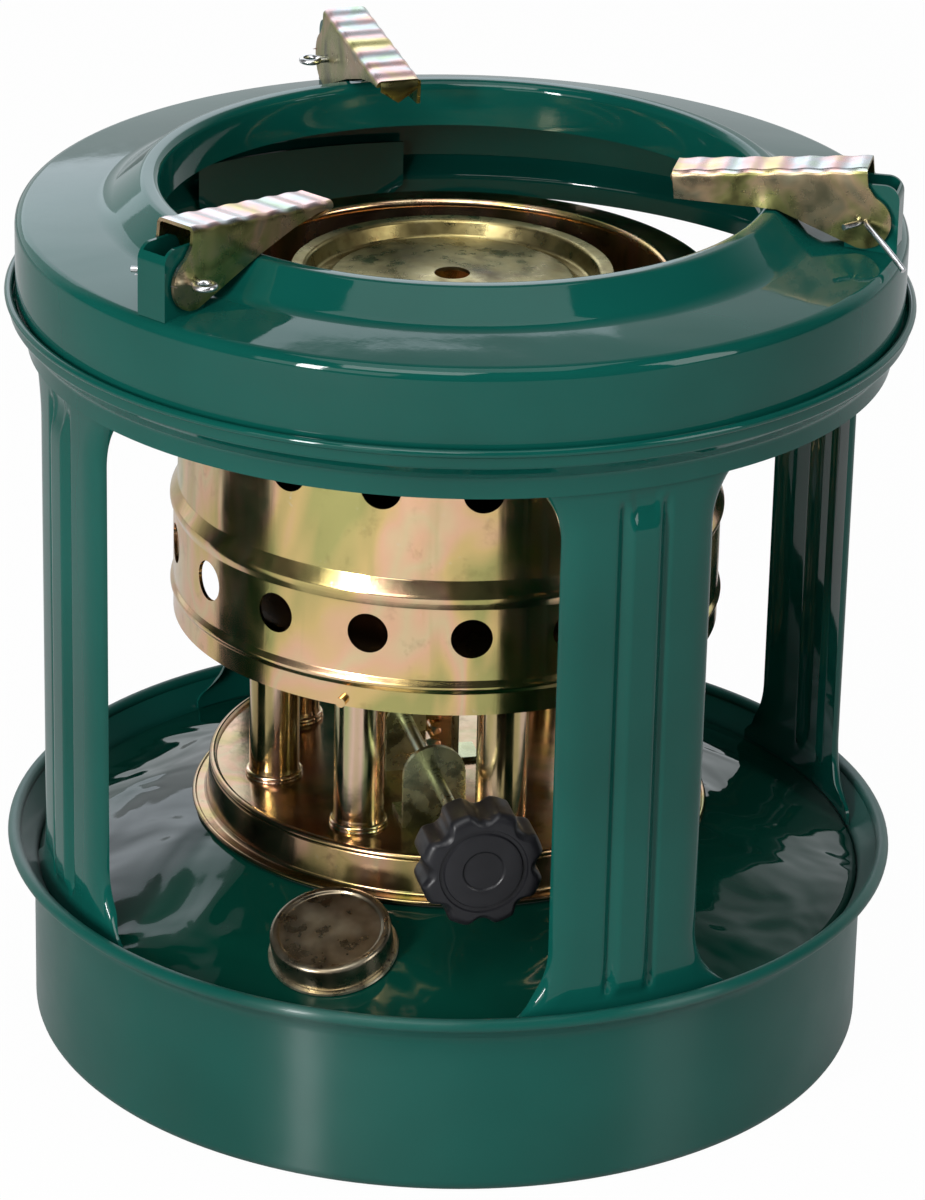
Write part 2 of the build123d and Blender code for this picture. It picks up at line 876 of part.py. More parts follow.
# Drum
def drum_casing():
    bead = casing_foot + casing_bead_height
    step = casing_foot + casing_step_height
    shell = pressed(
        [
            (casing_radius, casing_foot),
            (casing_radius, bead - casing_bead_rise),
            (casing_radius + casing_bead_proud, bead),
            (casing_radius, bead + casing_bead_rise),
            (casing_radius, step),
            (casing_radius + casing_bulge_proud, step + casing_step_rise * 2 / 5),
            (casing_radius - casing_step_width, step + casing_step_rise),
            (casing_top_radius, casing_top),
            (outer_sleeve_radius + sleeve_roll, casing_top),
        ],
        [
            casing_bend,
            casing_bead_bend,
            casing_bend,
            casing_bend,
            casing_bulge_bend,
            casing_bend,
            casing_shoulder_bend,
        ],
        casing_gauge,
    )
    holes = []
    for row, stagger in ((casing_hole_low, 0), (casing_hole_high, casing_hole_stagger)):
        for index in range(casing_hole_count):
            angle = casing_hole_phase + stagger + index * 360 / casing_hole_count
            holes.append(drill(casing_hole_radius, rim_radius, angle, casing_foot + row))
    return shell - holes - cross_bores()


def casing_studs():
    studs = []
    reach = casing_radius + stud_height
    for index in range(cross_pin_count):
        angle = stud_angle + index * 360 / cross_pin_count
        stud = drill(stud_radius, reach, angle, casing_foot + stud_rise)
        studs.append(stud - post(casing_radius + running_fit, 0, casing_top))
    return studs


def vents(rows):
    bars = []
    for row in range(rows):
        for index in range(vent_count):
            angle = cross_pin_angle + (index + (row % 2) / 2) * 360 / vent_count
            bars.append(drill(vent_radius, casing_radius, angle, gallery_top() + vent_low + row * vent_pitch))
    return bars


def gallery_top():
    return gallery_floor + gallery_gauge


def outer_sleeve():
    top = casing_top + outer_sleeve_rise
    wall = pipe(outer_sleeve_radius, sleeve_gauge, gallery_top(), top)
    wall += rolled(outer_sleeve_radius - sleeve_gauge / 2, top, sleeve_roll)
    return wall - vents(outer_vent_rows) - cross_bores()


def inner_sleeve_top():
    return casing_top + inner_sleeve_rise


def inner_sleeve():
    wall = pipe(inner_sleeve_radius, sleeve_gauge, gallery_top(), inner_sleeve_top())
    return wall - vents(inner_vent_rows) - cross_bores()


def flame_cap():
    rim = inner_sleeve_top() + sleeve_gauge
    edge = inner_sleeve_radius + cap_overhang
    wall = inner_sleeve_radius - cap_rim_width
    valley = wall - cap_wall_lean
    step = valley - cap_valley_width
    return pressed(
        [
            (edge, rim),
            (wall, rim),
            (valley, rim - cap_wall_drop),
            (step, rim - cap_wall_drop),
            (step - cap_step_width, rim - cap_wall_drop + cap_step_rise),
            (cap_hole_radius, rim - cap_wall_drop + cap_step_rise + cap_dome_rise),
        ],
        cap_bend,
        sleeve_gauge,
    )


def cross_angle(index):
    return cross_pin_angle + index * 360 / cross_pin_count


def cross_bores():
    height = casing_foot + cross_pin_height
    bore = cross_pin_radius + running_fit
    return [drill(bore, rim_radius, cross_angle(i), height) for i in range(cross_pin_count)]


def cross_pins():
    height = casing_foot + cross_pin_height
    core = post(inner_sleeve_radius - sleeve_gauge - cross_pin_overhang, 0, casing_top)
    reach = casing_radius
    return [
        drill(cross_pin_radius, reach, cross_angle(i), height) - core for i in range(cross_pin_count)
    ]


# Every piece under its own name
nodes = {
    "tank_pan": tank_pan(),
    "tank_top": tank_top(),
    "filler_neck": filler_neck(),
    "filler_cap": filler_cap(),
    "cap_gasket": cap_gasket(),
    "frame_ring": frame_ring(),
    "top_cover": top_cover(),
    "burner_base": burner_base(),
    "burner_gasket": burner_gasket(),
    "gallery": gallery(),
    "shaft_bracket": shaft_bracket(),
    "pinion_yoke": pinion_yoke(),
    "yoke_screw": yoke_screw(),
    "rack_guide": rack_guide(),
    "adjuster_shaft": adjuster_shaft(),
    "pinion": pinion(),
    "knob": knob(),
    "rack": rack(),
    "wick_carrier": wick_carrier(),
}
# the drum stands loose in the gallery, over to one side
drum_nodes = {
    "drum_casing": [drum_casing()],
    "casing_studs": casing_studs(),
    "outer_sleeve": [outer_sleeve()],
    "inner_sleeve": [inner_sleeve()],
    "flame_cap": [flame_cap()],
    "cross_pins": cross_pins(),
}
drum_place = ring_of(drum_shift, drum_shift_angle, 0)
for name, shapes in drum_nodes.items():
    placed = [drum_place * shape for shape in shapes]
    nodes[name] = placed if len(placed) > 1 else placed[0]
leg_shape = leg()
for index in range(leg_count):
    nodes[f"leg_{index + 1}"] = turned(leg_shape, leg_first_angle + index * 360 / leg_count)
for index in range(support_count):
    angle = support_first_angle + index * 360 / support_count
    nodes[f"support_bracket_{index + 1}"] = support_bracket(angle)
    nodes[f"support_pin_{index + 1}"] = support_pin(angle, index)
    nodes[f"pot_support_{index + 1}"] = pot_support(angle)
for index in range(wick_count):
    nodes[f"wick_tube_{index + 1}"] = wick_tube(index)
    nodes[f"wick_{index + 1}"] = wick(index)

os.makedirs("parts", exist_ok=True)
for name, shape in nodes.items():
    solid = Compound(children=shape) if isinstance(shape, list) else shape
    export_step(solid, f"parts/{name}.step")
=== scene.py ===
import bpy, bmesh, math
from mathutils import Matrix, Vector


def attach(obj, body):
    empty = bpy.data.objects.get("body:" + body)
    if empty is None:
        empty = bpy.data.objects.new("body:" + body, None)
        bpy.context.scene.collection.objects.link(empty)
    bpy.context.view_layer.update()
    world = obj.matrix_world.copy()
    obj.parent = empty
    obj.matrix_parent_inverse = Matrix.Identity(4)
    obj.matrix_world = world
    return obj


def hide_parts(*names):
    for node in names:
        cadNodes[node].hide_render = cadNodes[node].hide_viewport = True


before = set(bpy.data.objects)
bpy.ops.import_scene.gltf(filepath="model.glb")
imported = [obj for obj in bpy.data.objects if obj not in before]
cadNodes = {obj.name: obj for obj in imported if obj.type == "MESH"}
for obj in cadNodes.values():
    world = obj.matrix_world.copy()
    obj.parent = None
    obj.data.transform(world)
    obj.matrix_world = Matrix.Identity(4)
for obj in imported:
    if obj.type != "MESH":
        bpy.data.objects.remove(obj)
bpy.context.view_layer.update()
mm = 0.001
fullTurn = 2 * math.pi
quarterTurn = math.pi / 2
axisGap = 0.02  # least radius of a turned loop, so that no point lies on the axis
straightCorner = 1.56  # half angle from which a corner is left as it is, radians
print("frame loaded:", len(cadNodes), "nodes")


# small helpers
def vectors(points):
    return [Vector(p) for p in points]


def polar(radius, angle, height=0):  # angle in degrees, from the front towards the right
    a = math.radians(angle)
    return Vector((radius * math.sin(a), -radius * math.cos(a), height))


def smooth(t):
    t = max(0, min(1, t))
    return t * t * (3 - 2 * t)


def roundPath(points, bends, steps=7):  # polyline with an arc at each corner
    pts = vectors(points)
    if not isinstance(bends, list):
        bends = [bends] * (len(pts) - 2)
    out = [pts[0]]
    for before, corner, after, bend in zip(pts, pts[1:], pts[2:], bends):
        u, w = (before - corner).normalized(), (after - corner).normalized()
        half = math.acos(max(-1, min(1, u.dot(w)))) / 2
        if half > straightCorner:
            out.append(corner)
            continue
        run = bend / math.tan(half)
        mid = corner + (u + w).normalized() * (bend / math.sin(half))
        p, q = corner + u * run - mid, corner + w * run - mid
        t0, t1 = math.atan2(p.y, p.x), math.atan2(q.y, q.x)
        turn = (t1 - t0 + math.pi) % fullTurn - math.pi
        for s in range(steps + 1):
            t = t0 + turn * s / steps
            out.append(mid + Vector((math.cos(t), math.sin(t))) * bend)
    out.append(pts[-1])
    return out


def pathNormals(path):  # left-hand normals
    last = len(path) - 1
    normals = []
    for i in range(len(path)):
        way = (path[min(last, i + 1)] - path[max(0, i - 1)]).normalized()
        normals.append(Vector((-way.y, way.x)))
    return normals


def sheetLoop(points, bends, gauge):  # closed section of a pressed sheet, outer face first
    path = roundPath(points, bends)
    inner = [p + n * gauge for p, n in zip(path, pathNormals(path))]
    return path + inner[::-1]


def ringLoop(radius, height, roll, steps=18):  # round section of a rolled edge
    turns = [fullTurn * s / steps for s in range(steps)]
    return [Vector((radius + roll * math.cos(t), height + roll * math.sin(t))) for t in turns]


def gridFaces(rows, columns, closeRows=False, closeColumns=False, start=0, flip=False):
    faces = []
    for i in range(rows if closeRows else rows - 1):
        near, far = start + i * columns, start + (i + 1) % rows * columns
        for k in range(columns if closeColumns else columns - 1):
            m = (k + 1) % columns
            quad = (near + k, near + m, far + m, far + k)
            faces.append(quad[:1] + quad[:0:-1] if flip else quad)
    return faces


def latheMesh(loops, count=180):  # closed (radius, height) loops in mm, turned about Z
    verts, faces = [], []
    for loop in loops:
        loop = [Vector((max(p.x, axisGap), p.y)) for p in loop]
        faces += gridFaces(count, len(loop), True, True, len(verts))
        for i in range(count):
            a = fullTurn * i / count
            verts += [(p.x * mm * math.sin(a), -p.x * mm * math.cos(a), p.y * mm) for p in loop]
    return verts, faces


def radialBars(rows, radius, inner, outer, sides=28):  # round bars that point out from the axis
    verts, faces = [], []
    for angle, height in rows:
        out, side = polar(1, angle), polar(1, angle + 90)
        start = len(verts)
        for reach in (inner, outer):
            for s in range(sides):
                t = fullTurn * s / sides
                up = Vector((0, 0, height + radius * math.sin(t)))
                verts.append((out * reach + side * radius * math.cos(t) + up) * mm)
        near = range(start, start + sides)
        faces += gridFaces(2, sides, closeColumns=True, start=start)
        faces += [tuple(reversed(near)), tuple(s + sides for s in near)]
    return verts, faces


def wireMesh(path, radius, sides=14):  # round wire along a path, in mm
    verts, faces = [], []
    last = len(path) - 1
    side = None
    for i, p in enumerate(path):
        way = (path[min(i + 1, last)] - path[max(i - 1, 0)]).normalized()
        if side is None:
            side = way.orthogonal().normalized()
        side = (side - way * side.dot(way)).normalized()
        other = way.cross(side)
        for k in range(sides):
            t = fullTurn * k / sides
            verts.append((p + (side * math.cos(t) + other * math.sin(t)) * radius) * mm)
    faces += gridFaces(last + 1, sides, closeColumns=True)
    faces += [tuple(range(sides))[::-1], tuple(last * sides + k for k in range(sides))]
    return verts, faces


def editMesh(mesh, work):
    bm = bmesh.new()
    bm.from_mesh(mesh)
    work(bm)
    bm.to_mesh(mesh)
    bm.free()


def linkNew(name, data):
    obj = bpy.data.objects.new(name, data)
    bpy.context.scene.collection.objects.link(obj)
    return obj


def plainObject(name, geo, place=None):
    mesh = bpy.data.meshes.new(name)
    mesh.from_pydata(geo[0], [], geo[1])
    if place is not None:
        mesh.transform(place)
    editMesh(mesh, lambda bm: bmesh.ops.recalc_face_normals(bm, faces=bm.faces))
    return linkNew(name, mesh)


def settle(obj, finish, body, nodes, sharp):
    mesh = obj.data
    mesh.materials.clear()
    mesh.materials.append(finish)
    mesh.shade_smooth()
    mesh.set_sharp_from_angle(angle=math.radians(sharp))
    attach(obj, body)
    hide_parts(*nodes)


def makePiece(name, geo, finish, body, nodes, sharp, place=None):
    settle(plainObject(name, geo, place), finish, body, nodes, sharp)


def bakeModifiers(obj):
    deps = bpy.context.evaluated_depsgraph_get()
    mesh = bpy.data.meshes.new_from_object(obj.evaluated_get(deps))
    old = obj.data
    obj.modifiers.clear()
    obj.data = mesh
    bpy.data.meshes.remove(old)


def cutWith(obj, tool):  # bakes one boolean cut
    mod = obj.modifiers.new("cut", "BOOLEAN")
    mod.operation = "DIFFERENCE"
    mod.solver = "EXACT"
    mod.use_self = True
    mod.object = tool
    bakeModifiers(obj)
    bpy.data.objects.remove(tool)


def joinMeshes(keep, extra):
    editMesh(keep.data, lambda bm: bm.from_mesh(extra.data))
    bpy.data.objects.remove(extra)


# node trees
class Nodes:
    def __init__(self, tree):
        self.tree = tree

    def add(self, kind, **values):
        node = self.tree.nodes.new(kind)
        for key, value in values.items():
            setattr(node, key, value)
        return node

    def put(self, socket, value):  # a number, a colour, a vector or another node's output
        if isinstance(value, bpy.types.NodeSocket):
            self.tree.links.new(value, socket)
        elif socket.type == "RGBA":
            socket.default_value = (*value, 1)
        else:
            socket.default_value = value

    def span(self, value, low, high, fromLow=0.3, fromHigh=0.7, curve="LINEAR"):
        node = self.add("ShaderNodeMapRange", interpolation_type=curve)
        self.put(node.inputs["From Min"], fromLow)
        self.put(node.inputs["From Max"], fromHigh)
        self.put(node.inputs["To Min"], low)
        self.put(node.inputs["To Max"], high)
        self.put(node.inputs["Value"], value)
        return node.outputs["Result"]

    def blend(self, amount, a, b, kind="MIX"):  # two colours
        node = self.add("ShaderNodeMix", data_type="RGBA", blend_type=kind)
        self.put(node.inputs[0], amount)
        self.put(node.inputs[6], a)
        self.put(node.inputs[7], b)
        return node.outputs[2]

    def between(self, amount, a, b):  # two numbers
        node = self.add("ShaderNodeMix")
        self.put(node.inputs[0], amount)
        self.put(node.inputs[2], a)
        self.put(node.inputs[3], b)
        return node.outputs[0]

    def calc(self, operation, *values):
        node = self.add("ShaderNodeMath", operation=operation)
        for socket, value in zip(node.inputs, values):
            self.put(socket, value)
        return node.outputs[0]

    def dot(self, a, b):
        node = self.add("ShaderNodeVectorMath", operation="DOT_PRODUCT")
        self.put(node.inputs[0], a)
        self.put(node.inputs[1], b)
        return node.outputs["Value"]

    def upPart(self, way):  # z of a vector
        node = self.add("ShaderNodeSeparateXYZ")
        self.put(node.inputs[0], way)
        return node.outputs["Z"]

    def rays(self, *kinds):  # 1 for any of the named rays
        path = self.add("ShaderNodeLightPath")
        value = path.outputs[kinds[0]]
        for kind in kinds[1:]:
            value = self.calc("MAXIMUM", value, path.outputs[kind])
        return value


# finishes
class Finish(Nodes):
    def __init__(self, name):
        self.mat = bpy.data.materials.new(name)
        self.mat.use_nodes = True
        super().__init__(self.mat.node_tree)
        self.shader = self.tree.nodes["Principled BSDF"]
        where = self.add("ShaderNodeTexCoord")
        self.place, self.facing = where.outputs["Object"], where.outputs["Normal"]

    def stretch(self, scale):  # coordinates scaled along x, y, z
        node = self.add("ShaderNodeMapping")
        self.put(node.inputs["Scale"], scale)
        self.put(node.inputs["Vector"], self.place)
        return node.outputs["Vector"]

    def noise(self, scale, detail=4, rough=0.55, along=None, distort=0):
        node = self.add("ShaderNodeTexNoise")
        self.put(node.inputs["Scale"], scale)
        self.put(node.inputs["Detail"], detail)
        self.put(node.inputs["Roughness"], rough)
        self.put(node.inputs["Distortion"], distort)
        self.put(node.inputs["Vector"], self.place if along is None else along)
        return node.outputs["Fac"]

    def ramp(self, value, stops):
        node = self.add("ShaderNodeValToRGB")
        elements = node.color_ramp.elements
        while len(elements) < len(stops):
            elements.new(0.5)
        for element, (at, colour) in zip(elements, stops):
            element.position = at
            element.color = (*colour, 1)
        self.put(node.inputs["Fac"], value)
        return node.outputs["Color"]

    def spots(self, tint, colour, pattern, amount, fromLow, fromHigh):  # colour where the pattern is high
        return self.blend(self.span(pattern, 0, amount, fromLow, fromHigh), tint, colour)

    def bump(self, height, strength, distance, after=None):
        node = self.add("ShaderNodeBump")
        self.put(node.inputs["Strength"], strength)
        self.put(node.inputs["Distance"], distance)
        self.put(node.inputs["Height"], height)
        if after is not None:
            self.put(node.inputs["Normal"], after)
        return node.outputs["Normal"]

    def feed(self, socket, value):
        self.put(self.shader.inputs[socket], value)


enamelLook = {
    "deep": (0.0018, 0.044, 0.034),
    "mid": (0.0028, 0.062, 0.049),
    "gloss": (0.03, 0.08),
    "ior": 1.34,
    "streak": (0.33, 0.39),
    "coat": 0.15,
}


def enamelFinish(name, waveSize, waveHeight, streaks=False, paintedShade=(1, 1, 1)):
    f = Finish(name)
    c = enamelLook
    tint = f.ramp(f.noise(14, detail=3), [(0.3, c["deep"]), (0.7, c["mid"])])
    # painted shade: the base colour is multiplied by paintedShade, which darkens a finish where shade falls on it
    f.feed("Base Color", f.blend(1.0, tint, paintedShade, "MULTIPLY"))
    f.feed("IOR", c["ior"])
    sheen = f.span(f.noise(260, detail=3), *c["gloss"])
    if streaks:  # highlights are drawn out upright, under a thin clear coat
        around = f.add("ShaderNodeTangent", direction_type="RADIAL", axis="Z")
        f.feed("Tangent", around.outputs["Tangent"])
        f.feed("Anisotropic", 1.0)
        f.feed("Anisotropic Rotation", 0.25)
        f.feed("Roughness", f.span(f.noise(60, detail=3), *c["streak"]))
        f.feed("Coat Weight", c["coat"])
        f.feed("Coat IOR", c["ior"])
        f.feed("Coat Roughness", sheen)
    else:
        f.feed("Roughness", sheen)
    wave = f.bump(f.noise(waveSize, detail=2, rough=0.35, distort=0.4), 1.0, waveHeight)
    f.feed("Normal", f.bump(f.noise(420, detail=2), strength=0.03, distance=0.0002, after=wave))
    return f.mat


zincLook = {
    "gold": (0.74, 0.53, 0.22),
    "salmon": (0.84, 0.51, 0.32),
    "olive": (0.44, 0.41, 0.15),
    "pale": (0.76, 0.58, 0.34),
    "brown": (0.12, 0.075, 0.03),
    "shadeColour": (0.035, 0.032, 0.028),
    "scratch": (0.72, 0.66, 0.54),
    "order": [
        (0.33, "olive"), (0.41, "gold"), (0.46, "salmon"), (0.51, "pale"),
        (0.55, "salmon"), (0.61, "gold"), (0.67, "olive"),
    ],
}


def zincFinish(name, stains=0.3, gloss=0.15, size=30, shadedOutside=False, paintedShade=1.0):
    f = Finish(name)
    c = zincLook
    cloud = f.noise(size, detail=3, along=f.stretch((1, 1, 0.55)), distort=0.5)
    tint = f.ramp(cloud, [(at, c[colour]) for at, colour in c["order"]])
    streak = f.noise(3.4 * size, detail=3, rough=0.6, along=f.stretch((1, 1, 0.10)))
    tint = f.spots(tint, c["olive"], streak, amount=0.7, fromLow=0.56, fromHigh=0.72)
    tint = f.spots(tint, c["brown"], f.noise(120, detail=5, rough=0.7), amount=stains, fromLow=0.58, fromHigh=0.72)
    tint = f.spots(tint, c["scratch"], f.noise(330, rough=0.75), amount=0.55, fromLow=0.66, fromHigh=0.74)
    # painted shade: the tint is multiplied by paintedShade
    tint = f.blend(1.0, tint, (paintedShade, paintedShade, paintedShade), "MULTIPLY")
    if shadedOutside:  # painted shade: faces that look away from the axis are dark, standing in for the shadow inside the casing
        outward = f.dot(f.facing, f.stretch((1, 1, 0)))
        tint = f.spots(tint, c["shadeColour"], outward, amount=1, fromLow=-0.005, fromHigh=0.005)
    f.feed("Base Color", tint)
    f.feed("Metallic", 1.0)
    f.feed("Roughness", f.span(f.noise(90), gloss - 0.05, gloss + 0.09))
    dent = f.bump(f.noise(34, detail=2), strength=0.5, distance=0.0004)
    brushed = f.noise(900, detail=2, rough=0.6, along=f.stretch((1, 1, 0.05)))
    f.feed("Normal", f.bump(brushed, strength=0.08, distance=0.0001, after=dent))
    return f.mat


tubeLook = {
    "stops": [
        (0.25, (0.16, 0.09, 0.04)), (0.40, (0.50, 0.40, 0.18)), (0.50, (0.76, 0.52, 0.40)),
        (0.60, (0.42, 0.44, 0.20)), (0.74, (0.62, 0.40, 0.26)),
    ],
    "gloss": (0.1, 0.22),
}


def tubeFinish():
    f = Finish("bandedZinc")
    bands = f.noise(150, detail=2, rough=0.5, along=f.stretch((1, 1, 0.05)), distort=0.2)
    tint = f.ramp(bands, tubeLook["stops"])
    tint = f.spots(tint, zincLook["brown"], f.noise(260, rough=0.7), amount=0.4, fromLow=0.6, fromHigh=0.72)
    f.feed("Base Color", tint)
    f.feed("Metallic", 1.0)
    f.feed("Roughness", f.span(f.noise(140, detail=3), *tubeLook["gloss"]))
    f.feed("Normal", f.bump(f.noise(600, detail=2), strength=0.06, distance=0.0001))
    return f.mat


rainbowLook = {
    "bands": [
        (0.24, (0.44, 0.46, 0.16)), (0.36, (0.66, 0.54, 0.24)), (0.46, (0.68, 0.42, 0.40)),
        (0.55, (0.50, 0.52, 0.54)), (0.66, (0.40, 0.50, 0.36)), (0.80, (0.56, 0.46, 0.18)),
    ],
    "shadedCheeks": [
        (0.32, (0.10, 0.09, 0.035)), (0.45, (0.30, 0.29, 0.11)),
        (0.56, (0.46, 0.33, 0.20)), (0.68, (0.26, 0.25, 0.17)),
    ],
    "gloss": (0.22, 0.36),
}


def rainbowFinish():  # bands across each plate, by distance from the stove's axis; faces that do not look up get darker colours, a painted shade
    f = Finish("rainbowZinc")
    reach = f.add("ShaderNodeVectorMath", operation="LENGTH")
    f.put(reach.inputs[0], f.stretch((1, 1, 0)))
    line = f.add("ShaderNodeCombineXYZ")
    f.put(line.inputs["X"], reach.outputs["Value"])
    bands = f.noise(95, detail=2, rough=0.5, along=line.outputs["Vector"])
    cloud = f.noise(70, rough=0.6, distort=0.8)
    mixed = f.calc("MULTIPLY_ADD", cloud, 0.5, f.span(bands, 0.0, 0.5, 0.25, 0.75))
    plate = f.ramp(mixed, rainbowLook["bands"])
    cheek = f.ramp(f.noise(60, detail=3, rough=0.6, distort=0.8), rainbowLook["shadedCheeks"])
    # painted shade: faces that do not look up take the darker cheek colours
    f.feed("Base Color", f.spots(cheek, plate, f.upPart(f.facing), amount=1, fromLow=0.4, fromHigh=0.75))
    f.feed("Metallic", 1.0)
    f.feed("Roughness", f.span(f.noise(160), *rainbowLook["gloss"]))
    f.feed("Normal", f.bump(f.noise(500, detail=3), strength=0.10, distance=0.0001))
    return f.mat


def steelFinish(name, colour, gloss, dull=0.55):  # dull: share of the colour in the dark patches
    f = Finish(name)
    low = tuple(dull * x for x in colour)
    f.feed("Base Color", f.ramp(f.noise(120, detail=5, rough=0.65), [(0.35, low), (0.62, colour)]))
    f.feed("Metallic", 1.0)
    f.feed("Roughness", f.span(f.noise(240), gloss - 0.06, gloss + 0.12))
    f.feed("Normal", f.bump(f.noise(700, detail=3), strength=0.12, distance=0.00012))
    return f.mat


stainLook = {
    "cap": [(0.34, (0.12, 0.09, 0.055)), (0.5, (0.24, 0.20, 0.14)), (0.68, (0.44, 0.40, 0.31))],
    "flange": [(0.28, (0.42, 0.35, 0.20)), (0.46, (0.78, 0.70, 0.50)), (0.62, (0.92, 0.86, 0.70))],
    "dish": [(0.30, (0.09, 0.065, 0.025)), (0.46, (0.28, 0.225, 0.09)), (0.64, (0.46, 0.38, 0.18))],
    "rust": (0.15, 0.08, 0.025),
    "gloss": (0.2, 0.42),
}


def stainFinish(name, stops, rust=0.6):
    f = Finish(name)
    tint = f.ramp(f.noise(45, rough=0.6), stainLook[stops])
    tint = f.spots(tint, stainLook["rust"], f.noise(300, rough=0.7), amount=rust, fromLow=0.52, fromHigh=0.75)
    f.feed("Base Color", tint)
    f.feed("Metallic", 1.0)
    f.feed("Roughness", f.span(f.noise(200), *stainLook["gloss"]))
    f.feed("Normal", f.bump(f.noise(260), strength=0.15, distance=0.0003))
    return f.mat


mouldingLook = {"deep": (0.006, 0.006, 0.0075), "pale": (0.011, 0.011, 0.013), "gloss": (0.3, 0.45), "ior": 1.34}


def knobFinish():
    f = Finish("blackMoulding")
    c = mouldingLook
    f.feed("Base Color", f.ramp(f.noise(90, detail=3), [(0.35, c["deep"]), (0.7, c["pale"])]))
    f.feed("Roughness", f.span(f.noise(300), *c["gloss"]))
    f.feed("IOR", c["ior"])
    f.feed("Normal", f.bump(f.noise(900, detail=2), strength=0.06, distance=0.0002))
    return f.mat


cottonLook = {
    "thread": (0.62, 0.55, 0.42), "pale": (0.80, 0.76, 0.66), "gloss": (0.82, 0.97),
    "weave": 260, "wander": 1.5,
}


def wickFinish():
    f = Finish("wovenCotton")
    c = cottonLook
    weave = f.add("ShaderNodeTexWave", wave_type="BANDS", bands_direction="Z")
    f.put(weave.inputs["Scale"], c["weave"])
    f.put(weave.inputs["Distortion"], c["wander"])
    f.put(weave.inputs["Vector"], f.place)
    fibre = f.noise(800, detail=3, rough=0.6)
    f.feed("Base Color", f.blend(fibre, c["thread"], c["pale"]))
    f.feed("Roughness", f.span(fibre, *c["gloss"]))
    f.feed("Normal", f.bump(weave.outputs["Fac"], strength=0.6, distance=0.0006))
    return f.mat


gasketLook = {"deep": (0.012, 0.011, 0.01), "pale": (0.03, 0.027, 0.024), "gloss": (0.6, 0.85)}


def gasketFinish():
    f = Finish("darkGasket")
    c = gasketLook
    f.feed("Base Color", f.ramp(f.noise(200), [(0.35, c["deep"]), (0.7, c["pale"])]))
    f.feed("Roughness", f.span(f.noise(400, detail=3), *c["gloss"]))
    f.feed("Normal", f.bump(f.noise(900, detail=3), strength=0.2, distance=0.0003))
    return f.mat


enamel = enamelFinish("greenEnamel", waveSize=22, waveHeight=0.0005)
# tank top: same enamel with its base colour darkened, a painted shade for the shadow under the cover
enamelShaded = enamelFinish("shadedTopEnamel", waveSize=42, waveHeight=0.0026, paintedShade=(0.5, 0.5, 0.42))
enamelStreak = enamelFinish("streakedEnamel", waveSize=22, waveHeight=0.0003, streaks=True)
zinc = zincFinish("yellowZinc")
# sleeves: stained zinc, with painted shade on the faces that look away from the axis
zincDark = zincFinish("stainedShadedZinc", stains=0.75, gloss=0.24, size=40, shadedOutside=True)
# burner base: stained zinc with its colour darkened to a painted shade for the dark reflections and shade on the base
zincBase = zincFinish("shadedBaseZinc", stains=0.6, gloss=0.17, paintedShade=0.46)
tubeZinc = tubeFinish()
rainbowZinc = rainbowFinish()
brightSteel = steelFinish("brightSteel", (0.72, 0.72, 0.73), gloss=0.24)
greySteel = steelFinish("greySteel", (0.56, 0.60, 0.44), gloss=0.28)
oliveSteel = steelFinish("oliveZinc", (0.56, 0.57, 0.34), gloss=0.24)
capMetal = stainFinish("stainedSteel", "cap", rust=0.0)
flangeMetal = stainFinish("stainedFlange", "flange")
dishMetal = stainFinish("heatedDish", "dish")
blackKnob = knobFinish()
cotton = wickFinish()
gasket = gasketFinish()
print("finishes ready")

# fuel tank: pan with a flared, rolled rim, and the sloping top set into it
tank = {
    "radius": 94.0, "rim": 100.0, "height": 44.7, "roll": 1.5, "flare": 5.7, "gauge": 0.8,
    "floor": (76.0, 2.0), "footInside": 78.0, "panBends": [1.5, 1.5, 3, 4],
    "slope": 19.0, "edge": 38.0, "skirtRadius": 93.1, "skirtFoot": 33.0,
    "flat": 57.5, "hole": 50.5, "topBends": [2.5, 6],
}
tankSlope = math.tan(math.radians(tank["slope"]))
flatHeight = tank["edge"] + (tank["skirtRadius"] - tank["flat"]) * tankSlope


def makeTank():
    t = tank
    rollR, rollZ = t["rim"] - t["roll"], t["height"] - t["roll"]
    r, (floorEdge, lift) = t["radius"], t["floor"]
    points = [(0, lift), (floorEdge, lift), (t["footInside"], 0), (r, 0), (r, rollZ - t["flare"]), (rollR, rollZ)]
    loops = [sheetLoop(points, t["panBends"], t["gauge"]), ringLoop(rollR, rollZ, t["roll"])]
    makePiece("tankPan", latheMesh(loops), enamelStreak, "stand", ["tank_pan"], sharp=50)
    skirt = t["skirtRadius"]
    points = [(skirt, t["skirtFoot"]), (skirt, t["edge"]), (t["flat"], flatHeight), (t["hole"], flatHeight)]
    loops = [sheetLoop(points, t["topBends"], t["gauge"])]
    makePiece("tankTop", latheMesh(loops), enamelShaded, "stand", ["tank_top"], sharp=50)


makeTank()

# filler neck and cap, on the sloping tank top
filler = {
    "distance": 72.6, "sides": 96, "bore": 10.2, "neck": 11.0, "low": -4.0, "high": 4.4,
    "flange": 14.2, "flangeEdge": [(-0.4, 0), (0, 0.3), (-0.2, 0.75), (-1, 0.8)],  # from the flange radius, up
    "cap": 13.2, "capWall": 1.0, "capFoot": 0.9, "capUnder": 5.3, "capMiddle": 6.3,
    "capEdge": [(-0.1, 0.9), (0, 1.4), (0, 6.8), (-1.7, 6.8), (-2.1, 6.25)],  # from the cap radius, up
    "capBends": [0.3, 1.0, 0.4, 0.5],
}


def fillerPlace():
    height = tank["edge"] + (tank["skirtRadius"] - filler["distance"]) * tankSlope
    tilt = Matrix.Rotation(math.radians(tank["slope"]), 4, "X")
    return Matrix.Translation((0, -filler["distance"] * mm, height * mm)) @ tilt


